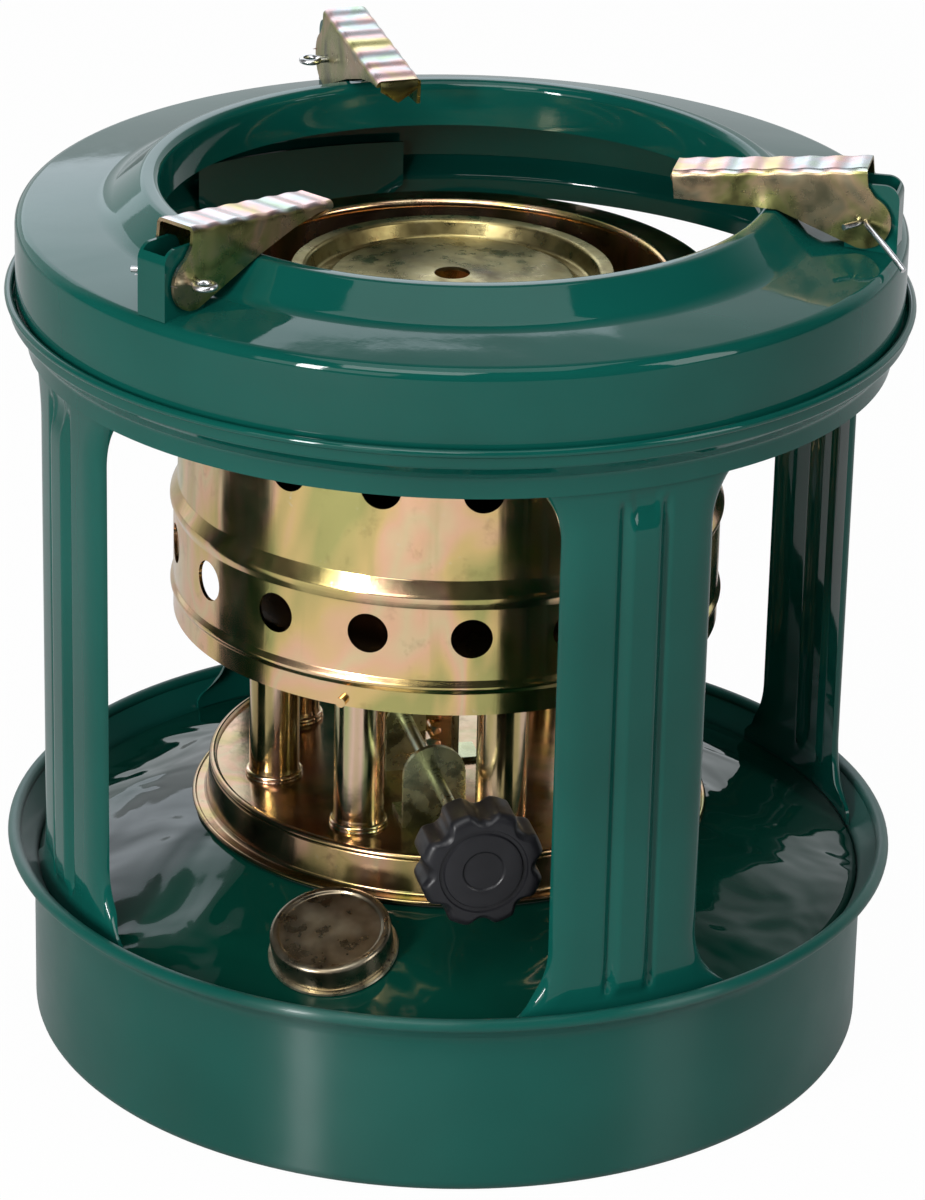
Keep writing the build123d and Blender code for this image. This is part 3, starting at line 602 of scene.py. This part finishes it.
def makeFiller():
    k, place = filler, fillerPlace()
    flange = [(k["flange"] + out, up) for out, up in k["flangeEdge"]]
    neck = [(k["bore"], k["low"]), (k["neck"], k["low"]), (k["neck"], 0)] + flange
    neck += [(k["neck"], flange[-1][1]), (k["neck"], k["high"]), (k["bore"], k["high"])]
    geo = latheMesh([vectors(neck)], k["sides"])
    makePiece("fillerNeck", geo, flangeMetal, "stand", ["filler_neck"], sharp=40, place=place)
    edge = [(k["cap"] + out, up) for out, up in k["capEdge"]]
    outer = roundPath(edge + [(0, k["capMiddle"])], k["capBends"])
    wall = k["cap"] - k["capWall"]
    inner = vectors([(0, k["capUnder"]), (wall, k["capUnder"]), (wall, k["capFoot"])])
    geo = latheMesh([outer + inner], k["sides"])
    makePiece("fillerCap", geo, capMetal, "filler_cap", ["filler_cap"], sharp=40, place=place)


makeFiller()
print("tank and filler done")

# upper ring and cover
upper = {
    "ring": 94.5, "ringFoot": 161.8, "coveFoot": 166.0, "ringBends": [2.0, 1.0], "gauge": 0.8,
    "lip": 98.4, "ledge": 170.0, "lipTop": 173.2, "lipRoll": 0.9,
    "cover": 96.9, "coverFoot": 170.8, "shoulder": 190.6, "dip": (77.5, 192.2), "crown": (69.6, 198.6),
    "opening": 65.5, "openingFoot": 188.2, "coverBends": [2.6, 7, 1.9, 1.9],
}


def makeUpper():
    u = upper
    points = [(u["ring"], u["ringFoot"]), (u["ring"], u["coveFoot"]), (u["lip"], u["ledge"]), (u["lip"], u["lipTop"])]
    loops = [sheetLoop(points, u["ringBends"], u["gauge"]), ringLoop(u["lip"], u["lipTop"], u["lipRoll"])]
    makePiece("frameRing", latheMesh(loops), enamel, "stand", ["frame_ring"], sharp=50)
    c, o, crownTop = u["cover"], u["opening"], u["crown"][1]
    points = [(c, u["coverFoot"]), (c, u["shoulder"]), u["dip"], u["crown"], (o, crownTop), (o, u["openingFoot"])]
    loops = [sheetLoop(points, u["coverBends"], u["gauge"])]
    makePiece("topCover", latheMesh(loops), enamel, "stand", ["top_cover"], sharp=60)


makeUpper()

# legs: pressed sheet with a rib between two grooves, flared at both ends
legLook = {
    "count": 4, "first": 45, "turn": -0.7, "lean": 0.2, "gauge": 0.8, "lift": 0.02,
    "face": 93.6, "half": 17.2, "foot": 38.0, "top": 175.0,
    "tab": 8.5, "flare": 17.8, "toe": 56.0, "head": 149.8,
    "curl": 2.0, "curlWidth": 5.5, "curlTop": 160.0, "curlTopFade": 8.0, "curlFoot": 47.0, "curlFootFade": 6.0,
    "rib": 0.8, "ribHalf": 4.3, "ribSide": 1.5,
    "ribEnd": 160.0, "ribEndFade": 3.5, "ribFoot": 44.5, "ribFootFade": 3.0,
    "groove": 1.0, "grooveAt": 4.9, "grooveWidth": 0.85,
    "dimple": 1.3, "dimpleAt": 157.0, "dimpleLength": 3.2, "dimpleHalf": 4.6, "dimpleSide": 2.5,
    "across": 96, "along": 120, "bunch": 0.10,
}


def legWidth(z):  # half width, widening along an arc towards both ends
    k = legLook
    past = max(z - k["head"], k["toe"] - z, 0)
    widest = k["half"] + k["tab"]
    if past >= k["flare"]:
        return widest
    return min(widest, k["half"] + k["flare"] - math.sqrt(k["flare"] ** 2 - past * past))


def legDepth(x, z, half):  # how far the sheet lies inside the face radius
    k = legLook
    a = abs(x)
    arc = k["face"] - math.sqrt(k["face"] ** 2 - a * a)
    atTop = smooth((z - k["curlTop"]) / k["curlTopFade"])
    atFoot = smooth((k["curlFoot"] - z) / k["curlFootFade"])
    edge = min(1, max(0, (a - (half - k["curlWidth"])) / k["curlWidth"]))
    curl = k["curl"] * (1 - math.sqrt(1 - edge**2)) * (1 - max(atTop, atFoot))
    rib = -k["rib"] * smooth((k["ribHalf"] - a) / k["ribSide"])
    groove = k["groove"] * math.exp(-(((a - k["grooveAt"]) / k["grooveWidth"]) ** 2))
    ends = smooth((k["ribEnd"] - z) / k["ribEndFade"]) * smooth((z - k["ribFoot"]) / k["ribFootFade"])
    dimple = k["dimple"] * math.exp(-(((z - k["dimpleAt"]) / k["dimpleLength"]) ** 2))
    dimple *= smooth((k["dimpleHalf"] - a) / k["dimpleSide"])
    lean = k["lean"] * (k["top"] - z) / (k["top"] - k["foot"])
    return arc + curl + (rib + groove) * ends + dimple + lean


def legColumns(half):  # columns bunched halfway between the middle and each side edge
    n = legLook["across"]
    shares = [2 * i / n - 1 for i in range(n + 1)]
    return [half * (u + legLook["bunch"] * math.sin(fullTurn * u)) for u in shares]


def makeLeg(index):
    k = legLook
    n, m = k["across"], k["along"]
    verts = []
    for layer in (0, k["gauge"]):
        for j in range(m + 1):
            z = k["foot"] + (k["top"] - k["foot"]) * j / m
            half = legWidth(z)
            for x in legColumns(half):
                y = k["face"] - legDepth(x, z, half) - layer
                rest = tank["edge"] + (tank["skirtRadius"] - math.hypot(x, y)) * tankSlope
                verts.append((x * mm, -y * mm, max(z, rest + k["lift"]) * mm))
    size = (n + 1) * (m + 1)
    faces = gridFaces(m + 1, n + 1)
    faces += [tuple(size + q for q in reversed(quad)) for quad in faces]
    edge = list(range(n + 1)) + [(j + 1) * (n + 1) + n for j in range(m)]
    edge += [m * (n + 1) + i for i in reversed(range(n))] + [j * (n + 1) for j in reversed(range(1, m))]
    faces += [(b, a, size + a, size + b) for a, b in zip(edge, edge[1:] + edge[:1])]
    turn = Matrix.Rotation(math.radians(k["first"] + 360 / k["count"] * index + k["turn"]), 4, "Z")
    name, node = "pressedLeg%d" % (index + 1), "leg_%d" % (index + 1)
    makePiece(name, (verts, faces), enamel, "stand", [node], sharp=50, place=turn)


for index in range(legLook["count"]):
    makeLeg(index)
print("frame done")

# burner base and wick tubes
burner = {
    "foot": flatHeight + 0.8, "gauge": 0.8, "bend": 1.0, "rise": 8.4, "hole": 2.0,
    "flange": 57.7, "flangeRoll": 0.6, "wall": 55.1, "rim": 54.4, "rimRoll": 0.9,
    "tubes": 8, "firstAngle": -9.5, "tubeCircle": 41.0, "tubeSides": 48,
    "tube": 5.6, "tubeHeight": 39.8, "tubeWall": 0.6, "tubeBelow": -3.3, "tubeSeat": -0.2,
    "tubeFoot": [(0.9, 0.05), (0.15, 1.3), (0, 2.4)], "footBends": [0.6, 1.2],  # from the tube radius, up
    "collar": (0.15, 0.75), "collarRoll": 0.7,
}
flangeTop = burner["foot"] + burner["gauge"]
floorTop = flangeTop + burner["rise"]
tubeTop = floorTop + burner["tubeHeight"]


def tubePlace(index):
    angle = burner["firstAngle"] + 360 / burner["tubes"] * index
    return Matrix.Translation(polar(burner["tubeCircle"] * mm, angle))


def makeBurner():
    b, g = burner, burner["gauge"]
    points = [(b["flange"], flangeTop), (b["wall"], flangeTop), (b["rim"], floorTop), (b["hole"], floorTop)]
    loops = [sheetLoop(points, b["bend"], g)]
    loops.append(ringLoop(b["flange"], flangeTop - g / 2, b["flangeRoll"]))
    loops.append(ringLoop(b["rim"] - g, floorTop, b["rimRoll"]))
    makePiece("burnerBase", latheMesh(loops), zincBase, "stand", ["burner_base"], sharp=40)


def makeTubes():
    b, r = burner, burner["tube"]
    bore, below = r - b["tubeWall"], floorTop + b["tubeBelow"]
    foot = [(r + out, floorTop + up) for out, up in b["tubeFoot"]]
    path = roundPath(foot + [(r, tubeTop)], b["footBends"])
    path += vectors([(bore, tubeTop), (bore, below), (r, below), (r, floorTop + b["tubeSeat"])])
    out, up = b["collar"]
    geo = latheMesh([path, ringLoop(r + out, floorTop + up, b["collarRoll"])], b["tubeSides"])
    for index in range(b["tubes"]):
        name, node = "wickTube%d" % (index + 1), "wick_tube_%d" % (index + 1)
        makePiece(name, geo, tubeZinc, "stand", [node], sharp=40, place=tubePlace(index))


makeBurner()
makeTubes()
print("burner done")

# drum: perforated casing, sleeves and flame cap
drum = {
    "foot": tubeTop - 2.16, "height": 77.5, "radius": 60.7, "gauge": 0.8,
    "wall": [(0, 0), (0, 4.95), (0.9, 6.45), (0, 7.95), (0, 24.4), (1.0, 26.9), (-0.9, 30.7)],  # from radius, foot
    "wallBends": [0.8, 1.2, 0.8, 0.8, 2.4, 0.8, 3.0], "topRadius": 59.0, "topInside": 49.4,
    "holes": 17, "hole": 4.5, "phase": 4.0, "stagger": 2.0, "low": 17.8, "high": 50.6, "cut": (52, 70),
    "shift": 1.9, "shiftAngle": -70.5,
}
sleeves = {
    "outerSleeve": {"node": "outer_sleeve", "radius": 48.4, "above": 0.2, "rows": 4, "roll": 1.0},
    "innerSleeve": {"node": "inner_sleeve", "radius": 34.4, "above": 0.9, "rows": 3, "roll": 0},
}
vents = {"count": 12, "first": 13, "low": 16, "rise": 15, "radius": 1.8, "cut": 6, "sides": 16, "gauge": 0.8}
flameCap = {
    "above": 1.7, "bend": 1.1, "gauge": 0.8, "centre": (3.9, -0.9),
    "dish": [(0.8, 0), (-2.2, 0), (-3.6, -3.7), (-6.4, -3.7), (-7.6, -2.1)],  # from inner sleeve, rim
}
drumPlace = Matrix.Translation(polar(drum["shift"] * mm, drum["shiftAngle"]))
drumTop = drum["foot"] + drum["height"]


def makeCasing():
    d = drum
    path = [(d["radius"] + out, d["foot"] + up) for out, up in d["wall"]]
    path += [(d["topRadius"], drumTop), (d["topInside"], drumTop)]
    casing = plainObject("drumCasing", latheMesh([sheetLoop(path, d["wallBends"], d["gauge"])]))
    holes = []
    for up, turn in ((d["low"], 0), (d["high"], d["stagger"])):
        holes += [(d["phase"] + turn + 360 / d["holes"] * i, d["foot"] + up) for i in range(d["holes"])]
    cutWith(casing, plainObject("holeBars", radialBars(holes, d["hole"], *d["cut"])))
    casing.data.transform(drumPlace)
    settle(casing, zinc, "drum", ["drum_casing"], sharp=35)


def makeSleeve(name, look):
    v, r, top = vents, look["radius"], drumTop + look["above"]
    bore = r - v["gauge"]
    sleeve = plainObject(name, latheMesh([vectors([(r, tubeTop), (r, top), (bore, top), (bore, tubeTop)])]))
    holes = []
    for row in range(look["rows"]):  # every other row is set over by half a step
        up, over = tubeTop + v["low"] + v["rise"] * row, row % 2 / 2
        holes += [(v["first"] + (i + over) * 360 / v["count"], up) for i in range(v["count"])]
    bars = radialBars(holes, v["radius"], r - v["cut"], r + v["cut"], v["sides"])
    cutWith(sleeve, plainObject("ventBars", bars))
    if look["roll"]:
        rim = ringLoop(r - v["gauge"] / 2, top, look["roll"])
        joinMeshes(sleeve, plainObject("sleeveRim", latheMesh([rim])))
    sleeve.data.transform(drumPlace)
    settle(sleeve, zincDark, "drum", [look["node"]], sharp=35)


def makeFlameCap():
    rim, r = drumTop + flameCap["above"], sleeves["innerSleeve"]["radius"]
    hole, sink = flameCap["centre"]
    points = [(r + out, rim + up) for out, up in flameCap["dish"]] + [(hole, rim + sink)]
    geo = latheMesh([sheetLoop(points, flameCap["bend"], flameCap["gauge"])])
    makePiece("flameCap", geo, dishMetal, "drum", ["flame_cap"], sharp=40, place=drumPlace)


makeCasing()
for name, look in sleeves.items():
    makeSleeve(name, look)
makeFlameCap()
print("drum done")

# pot supports: rippled channel on a split pin, one cheek straight, one cut away towards the tip
pot = {
    "count": 3, "first": -22.0, "pivot": 88.0, "height": 198.0, "droop": 5.9, "gauge": 0.8,
    "width": 10.4, "length": 42.0, "over": 1.5, "bend": 1.3,
    "plate": 11.8, "ripples": 7, "wave": 0.12,
    "lobe": 6.0, "leave": -1.9,  # radius round the pin, and where the lower edge leaves it
    "straightEdge": [(-18.4, 2.95), (-40.5, 5.7)],
    "cutEdge": [(-18.4, 2.95), (-28.9, 7.5), (-36, 9.8), (-40.5, 10.3)],
    "shoulder": 7.8, "shoulderFrom": 1.5, "shoulderTo": 4.2, "shoulderSlope": 1.75,
    "noseReach": 1.1, "noseBack": 0.9, "noseDrop": 5.2, "noseSides": 3.0, "noseInset": 0.9, "noseSink": 0.3,
    "along": 120, "lobeSteps": 24, "steps": 8, "bendSteps": 6, "weld": 0.00002,
}


def hingePlace(index):  # hinge frame (outward, up, sideways) to the stove
    turn = Matrix.Rotation(math.radians(pot["first"] + 360 / pot["count"] * index), 4, "Z")
    rows = ((0, 0, -1, 0), (-1, 0, 0, -pot["pivot"] * mm), (0, 1, 0, pot["height"] * mm), (0, 0, 0, 1))
    return turn @ Matrix(rows)


def lineBetween(points, x):
    for (xa, ya), (xb, yb) in zip(points, points[1:]):
        if xb <= x <= xa:
            return ya + (yb - ya) * (xa - x) / (xa - xb)
    return points[-1][1]


def lobeHeight(x):
    return math.sqrt(max(0, pot["lobe"] ** 2 - x * x))


def cheekFoot(x, edge):  # lower edge of a cheek
    leave = pot["leave"]
    if x > leave:
        return -lobeHeight(x)
    return lineBetween([(leave, -lobeHeight(leave))] + edge, x)


def cheekHead(x):  # upper edge of a cheek outside the plate
    if x >= pot["shoulderTo"]:
        return lobeHeight(x)
    fall = max(0, (x - pot["shoulderFrom"]) * pot["shoulderSlope"])
    return max(lobeHeight(x), pot["shoulder"] - fall)


def plateTop(x):
    pitch = pot["length"] / pot["ripples"]
    return pot["plate"] + pot["wave"] * math.sin(fullTurn * (pot["over"] - x) / pitch)


def supportRow(x):  # section from the straight cheek over the plate to the cut-away one
    half, bend, n = pot["width"] / 2, pot["bend"], pot["steps"]
    top = plateTop(x)
    side = top - bend
    low, cut = cheekFoot(x, pot["straightEdge"]), cheekFoot(x, pot["cutEdge"])
    turns = [quarterTurn * j / pot["bendSteps"] for j in range(pot["bendSteps"] + 1)]
    row = [(x, low + (side - low) * j / n, half) for j in range(n + 1)]
    row += [(x, side + bend * math.sin(t), half - bend + bend * math.cos(t)) for t in turns[1:]]
    row += [(x, top, (half - bend) * (1 - 2 * j / n)) for j in range(1, n)]
    row += [(x, side + bend * math.sin(t), -half + bend - bend * math.cos(t)) for t in reversed(turns)]
    return row + [(x, side + (cut - side) * j / n, -half) for j in range(1, n + 1)]


def lobeRow(share, sideways):  # upright line on the lobe round the pin, outside the plate
    n, room = pot["steps"], 0.001
    x = pot["over"] + (pot["lobe"] - pot["over"] - room) * math.sin(quarterTurn * share)
    low, high = -lobeHeight(x), cheekHead(x)
    return [(x, low + (high - low) * j / n, sideways) for j in range(n + 1)]


def noseRow(share):  # line across the nose that closes the tip
    n, tip = pot["steps"], pot["over"] - pot["length"]
    x = tip - pot["noseReach"] * math.sin(quarterTurn * share) + pot["noseBack"] * share * share
    top = plateTop(tip) - pot["noseSink"]
    across = [2 * j / n - 1 for j in range(n + 1)]
    wide = pot["width"] / 2 - pot["noseInset"]
    return [(x, top - (pot["noseDrop"] - pot["noseSides"] * abs(u)) * share, u * wide) for u in across]


def weldSupport(bm):
    bmesh.ops.remove_doubles(bm, verts=bm.verts, dist=pot["weld"])
    bm.normal_update()


def makePotSupport(index):
    half, n, m, steps = pot["width"] / 2, pot["along"], pot["lobeSteps"], pot["steps"]
    patches = [([supportRow(pot["over"] - pot["length"] * k / n) for k in range(n + 1)], False)]
    for sideways in (half, -half):
        patches.append(([lobeRow(k / m, sideways) for k in range(m + 1)], sideways > 0))
    patches.append(([noseRow(k / steps) for k in range(steps + 1)], True))
    verts, faces = [], []
    for rows, flip in patches:
        faces += gridFaces(len(rows), len(rows[0]), start=len(verts), flip=flip)
        verts += [Vector(p) * mm for row in rows for p in row]
    place = hingePlace(index) @ Matrix.Rotation(math.radians(pot["droop"]), 4, "Z")
    obj = plainObject("potSupport%d" % (index + 1), (verts, faces), place)
    editMesh(obj.data, weldSupport)
    mod = obj.modifiers.new("gauge", "SOLIDIFY")
    mod.thickness = pot["gauge"] * mm
    mod.offset = -1
    bakeModifiers(obj)
    settle(obj, rainbowZinc, "support_%d" % (index + 1), ["pot_support_%d" % (index + 1)], sharp=40)


for index in range(pot["count"]):
    makePotSupport(index)
print("pot supports done")

# wick knob: eight wide lobes between narrow flutes
knobLook = {
    "radius": 13.5, "length": 11.0, "face": 83.5, "edgeBends": [1.6, 2.2], "edgeSteps": 8,
    "lobes": 8, "flute": 3.0, "reach": 14.6, "fluteFrom": 9.8, "fluteRun": 2.2,
    "backInside": 8.6, "faceInside": 10.3,
    "hub": [(0, -3), (6.4, -3), (7.0, -2.5), (7.0, 0)],  # radius, and distance from the back
    "dish": [  # radius, and distance from the face
        (9.7, -0.05), (9.45, -0.55), (8.7, -0.6), (8.4, -0.1), (7.9, 0),
        (4.9, 0), (4.5, -0.15), (4.2, -0.6), (0, -0.65),
    ],
    "angle": 32.7, "offset": 11.6, "height": 12.1, "sides": 240, "soften": 2,
}


def shaftPlace():  # x to the stove's axis, y up, z out along the shaft
    a = math.radians(knobLook["angle"])
    side = Vector((math.cos(a), math.sin(a), 0))
    out = Vector((math.sin(a), -math.cos(a), 0))
    place = Matrix((side, (0, 0, 1), out)).transposed().to_4x4()
    place.translation = (side * -knobLook["offset"] + Vector((0, 0, floorTop + knobLook["height"]))) * mm
    return place


def knobEdge(t):  # outline radius at an angle, radians
    k = knobLook
    step = fullTurn / k["lobes"]
    d = (t + step / 2) % step - step / 2
    side = k["reach"] * math.sin(d)
    if abs(side) >= k["flute"]:
        return k["radius"]
    return min(k["radius"], k["reach"] * math.cos(d) - math.sqrt(k["flute"] ** 2 - side**2))


def makeKnob():
    k, count = knobLook, knobLook["sides"]
    r, face, back = k["radius"], k["face"], k["face"] - k["length"]
    edge = [(k["backInside"], back), (r, back), (r, face), (k["faceInside"], face)]
    profile = vectors([(x, back + up) for x, up in k["hub"]])
    profile += roundPath(edge, k["edgeBends"], k["edgeSteps"])
    profile += vectors([(x, face + up) for x, up in k["dish"]])
    outline = [knobEdge(fullTurn * i / count) for i in range(count)]
    near = range(-k["soften"], k["soften"] + 1)
    verts = []
    for i in range(count):
        t = fullTurn * i / count
        share = sum(outline[(i + d) % count] for d in near) / len(near) / r
        for p in profile:
            fluted = max(0, min(1, (p.x - k["fluteFrom"]) / k["fluteRun"]))
            reach = max(p.x, axisGap) * (1 + (share - 1) * fluted)
            verts.append(Vector((reach * math.cos(t), reach * math.sin(t), p.y)) * mm)
    n = len(profile)
    faces = gridFaces(count, n, closeRows=True, flip=True)
    faces.append(tuple(i * n for i in range(count)))
    faces.append(tuple(i * n + n - 1 for i in reversed(range(count))))
    geo = (verts, faces)
    makePiece("wickKnob", geo, blackKnob, "adjuster", ["knob"], sharp=38, place=shaftPlace())


makeKnob()
print("knob done")

# split pins: one bent wire each, an eye on one side and spread legs on the other
pinLook = {
    "wire": 0.7, "fit": 0.94, "half": 6.2, "inset": 0.6, "eye": 2.0, "eyeSteps": 32,
    "leg": 4.5, "spread": 38.0, "legShares": (1, 0.8, 0.6, 0.4, 0.2, 0.06),
    "longPin": 1, "longLeg": (9.6, -6.0, 8.0), "sag": 0.9,
}


def pinLeg(side, isLong):  # from the loose end to the root
    k = pinLook
    a = math.radians(k["spread"])
    way = Vector((side * math.sin(a), 0, math.cos(a))) * k["leg"]
    sag = 0
    if isLong:
        way, sag = Vector(k["longLeg"]), k["sag"]
    root = Vector((side * k["wire"], 0, k["half"]))
    return [root + way * t + Vector((0, -sag * t * t, 0)) for t in k["legShares"]]


def makePin(index):
    k = pinLook
    w, half, eye = k["wire"], k["half"], k["eye"]
    start = math.asin(w / eye)
    turns = [start + (fullTurn - 2 * start) * i / k["eyeSteps"] for i in range(k["eyeSteps"] + 1)]
    loop = vectors([(eye * math.sin(t), 0, -half - eye + eye * math.cos(t)) for t in turns])
    stops = (half - k["inset"], 0, -half + k["inset"])
    path = pinLeg(1, index == k["longPin"]) + vectors([(w, 0, z) for z in stops]) + loop
    path += vectors([(-w, 0, z) for z in reversed(stops)]) + pinLeg(-1, False)[::-1]
    name, node = "splitPin%d" % (index + 1), "support_pin_%d" % (index + 1)
    geo = wireMesh(path, w * k["fit"])
    makePiece(name, geo, brightSteel, "stand", [node], sharp=60, place=hingePlace(index))


for index in range(pot["count"]):
    makePin(index)

# wicks: woven cotton with a frayed, domed end
wickLook = {
    "radius": 4.6, "foot": [(0.05, 8.0), (0.98, 8.0), (1.0, 9.0)],  # share of the radius, and height
    "tip": 1.0, "end": [(1.0, -1.4), (0.97, -0.6), (0.86, -0.15), (0.5, 0), (0.02, -0.1)],
    "plies": 10, "plyDepth": 0.03, "frays": 7, "fray": 0.18, "frayFrom": 0.7, "sides": 40,
}


def makeWick(index):
    k, count = wickLook, wickLook["sides"]
    r, top = k["radius"], tubeTop + k["tip"]
    rows = k["foot"] + [(share, top + up) for share, up in k["end"]]
    verts = []
    for i in range(count):
        t = fullTurn * i / count
        ply = 1 - k["plyDepth"] * (0.5 + 0.5 * math.cos(k["plies"] * t))
        for share, z in rows:
            fray = k["fray"] * math.sin(k["frays"] * t + index) * share if z > top - k["frayFrom"] else 0
            reach = r * share * ply
            verts.append(Vector((reach * math.sin(t), -reach * math.cos(t), z - abs(fray))) * mm)
    faces = gridFaces(count, len(rows), closeRows=True, flip=True)
    name, node = "cottonWick%d" % (index + 1), "wick_%d" % (index + 1)
    makePiece(name, (verts, faces), cotton, "wick_lift", [node], sharp=60, place=tubePlace(index))


for index in range(burner["tubes"]):
    makeWick(index)
print("pins and wicks done")

# CAD nodes that keep their shape take a finish and a soft edge here
keptNodes = {
    zinc: ["gallery", "pinion", "rack", "wick_carrier", "casing_studs", "cross_pins"],
    oliveSteel: ["shaft_bracket", "pinion_yoke", "rack_guide"],
    greySteel: ["adjuster_shaft"],
    enamel: ["support_bracket_1", "support_bracket_2", "support_bracket_3"],
    brightSteel: ["yoke_screw"],
    gasket: ["cap_gasket", "burner_gasket"],
}
softEdge = {"width": 0.2, "segments": 2, "angle": 50}
for finish, names in keptNodes.items():
    for name in names:
        node = cadNodes[name]
        node.data.materials.clear()
        node.data.materials.append(finish)
        soft = node.modifiers.new("softEdge", "BEVEL")
        soft.width = softEdge["width"] * mm
        soft.segments = softEdge["segments"]
        soft.limit_method = "ANGLE"
        soft.angle_limit = math.radians(softEdge["angle"])
print("kept nodes finished")

# floor, light and camera
view = {
    "angle": 19.5, "distance": 1.1094, "height": 0.5798, "aim": 0.1, "roll": 1.295,
    "lens": 210.39, "sensor": 36, "shiftX": 0.00958, "shiftY": -0.00687, "near": 0.05,
}
stage = {"front": 0.8, "back": 3.0, "side": 1.5, "grey": (0.5, 0.5, 0.5), "seen": 0.98, "mirrored": 0.2}


def makeFloor():
    front, side = polar(1, view["angle"]), polar(1, view["angle"] + 90)
    wide, near, far = stage["side"], stage["front"], -stage["back"]
    corners = [(-wide, near), (wide, near), (wide, far), (-wide, far)]
    mesh = bpy.data.meshes.new("floor")
    mesh.from_pydata([side * a + front * b for a, b in corners], [], [(0, 1, 2, 3)])
    floor = linkNew("floor", mesh)
    mat = bpy.data.materials.new("paleFloor")
    mat.use_nodes = True
    n = Nodes(mat.node_tree)
    n.tree.nodes.clear()
    diffuse = n.add("ShaderNodeBsdfDiffuse")
    n.put(diffuse.inputs["Color"], stage["grey"])
    white = n.add("ShaderNodeEmission")
    mirrored = n.calc("MULTIPLY", n.rays("Is Glossy Ray", "Is Transmission Ray"), stage["mirrored"])
    seen = n.calc("MULTIPLY_ADD", n.rays("Is Camera Ray"), stage["seen"], mirrored)
    mix = n.add("ShaderNodeMixShader")
    for socket, value in zip(mix.inputs, (seen, diffuse.outputs[0], white.outputs[0])):
        n.put(socket, value)
    out = n.add("ShaderNodeOutputMaterial")
    n.put(out.inputs["Surface"], mix.outputs[0])
    mesh.materials.append(mat)


sky = {
    "ambient": 0.26, "room": 0.05, "backdrop": 1.0, "from": 0.3, "to": 0.72,
    "lowTop": 0.42, "highTop": 0.7, "overhead": 0.4, "tint": (0.92, 0.97, 1.0),
}


def makeWorld():  # white backdrop behind the stove, dim room in front
    world = bpy.data.worlds.new("studio")
    bpy.context.scene.world = world
    world.use_nodes = True
    n = Nodes(world.node_tree)
    shade = n.tree.nodes["Background"]
    n.put(shade.inputs["Color"], n.blend(n.rays("Is Camera Ray"), sky["tint"], (1, 1, 1)))
    way = n.add("ShaderNodeTexCoord").outputs["Generated"]
    behind = n.dot(way, -polar(1, view["angle"]))
    rear = n.span(behind, sky["room"], sky["backdrop"], sky["from"], sky["to"], "SMOOTHSTEP")
    fall = n.span(n.upPart(way), 1.0, sky["overhead"], sky["lowTop"], sky["highTop"], "SMOOTHSTEP")
    level = n.calc("MULTIPLY", rear, fall)
    mirrored = n.between(n.rays("Is Glossy Ray", "Is Transmission Ray"), sky["ambient"], level)
    n.put(shade.inputs["Strength"], n.between(n.rays("Is Camera Ray"), mirrored, 1.0))


lampAim = Vector((0, 0, 0.11))
lamps = {
    "keySoft": {"angle": -13, "out": 1.25, "height": 0.42, "size": (0.8, 0.5), "power": 3, "tint": (1, 0.99, 0.97)},
    "keyCore": {"angle": -16, "out": 1.24, "height": 0.42, "size": (0.14, 0.6), "power": 14, "tint": (1, 1, 1)},
    "sideSoft": {"angle": 80, "out": 1.2, "height": 0.6, "size": (0.4, 0.9), "power": 6, "tint": (1, 1, 1)},
    "backSoft": {"angle": 216, "out": 1.3, "height": 0.78, "size": (1.0, 0.6), "power": 2.6, "tint": (0.82, 0.9, 1)},
    "topSoft": {"angle": 19.5, "out": 0.15, "height": 1.4, "size": (0.9, 0.9), "power": 5, "tint": (0.94, 0.98, 1)},
    "highSoft": {"angle": 5, "out": 0.85, "height": 1.15, "size": (0.6, 0.6), "power": 7, "tint": (1, 1, 1)},
}


def makeLamps():
    for name, v in lamps.items():
        data = bpy.data.lights.new(name, "AREA")
        data.shape = "RECTANGLE"
        data.size, data.size_y = v["size"]
        data.energy = v["power"]
        data.color = v["tint"]
        lamp = linkNew(name, data)
        lamp.location = polar(v["out"], v["angle"], v["height"])
        lamp.rotation_euler = (lampAim - lamp.location).to_track_quat("-Z", "Y").to_euler()


def makeCamera():
    data = bpy.data.cameras.new("camera")
    data.sensor_fit = "HORIZONTAL"
    data.sensor_width = view["sensor"]
    data.lens = view["lens"]
    data.shift_x, data.shift_y = view["shiftX"], view["shiftY"]
    data.clip_start = view["near"]
    camera = linkNew("camera", data)
    eye = polar(view["distance"], view["angle"], view["height"])
    aim = Vector((0, 0, view["aim"])) - eye
    turn = aim.to_track_quat("-Z", "Y").to_matrix() @ Matrix.Rotation(math.radians(view["roll"]), 3, "Z")
    camera.matrix_world = Matrix.Translation(eye) @ turn.to_4x4()
    bpy.context.scene.camera = camera


makeFloor()
makeWorld()
makeLamps()
makeCamera()
bpy.context.scene.view_settings.view_transform = "Standard"
print("stage and camera done")
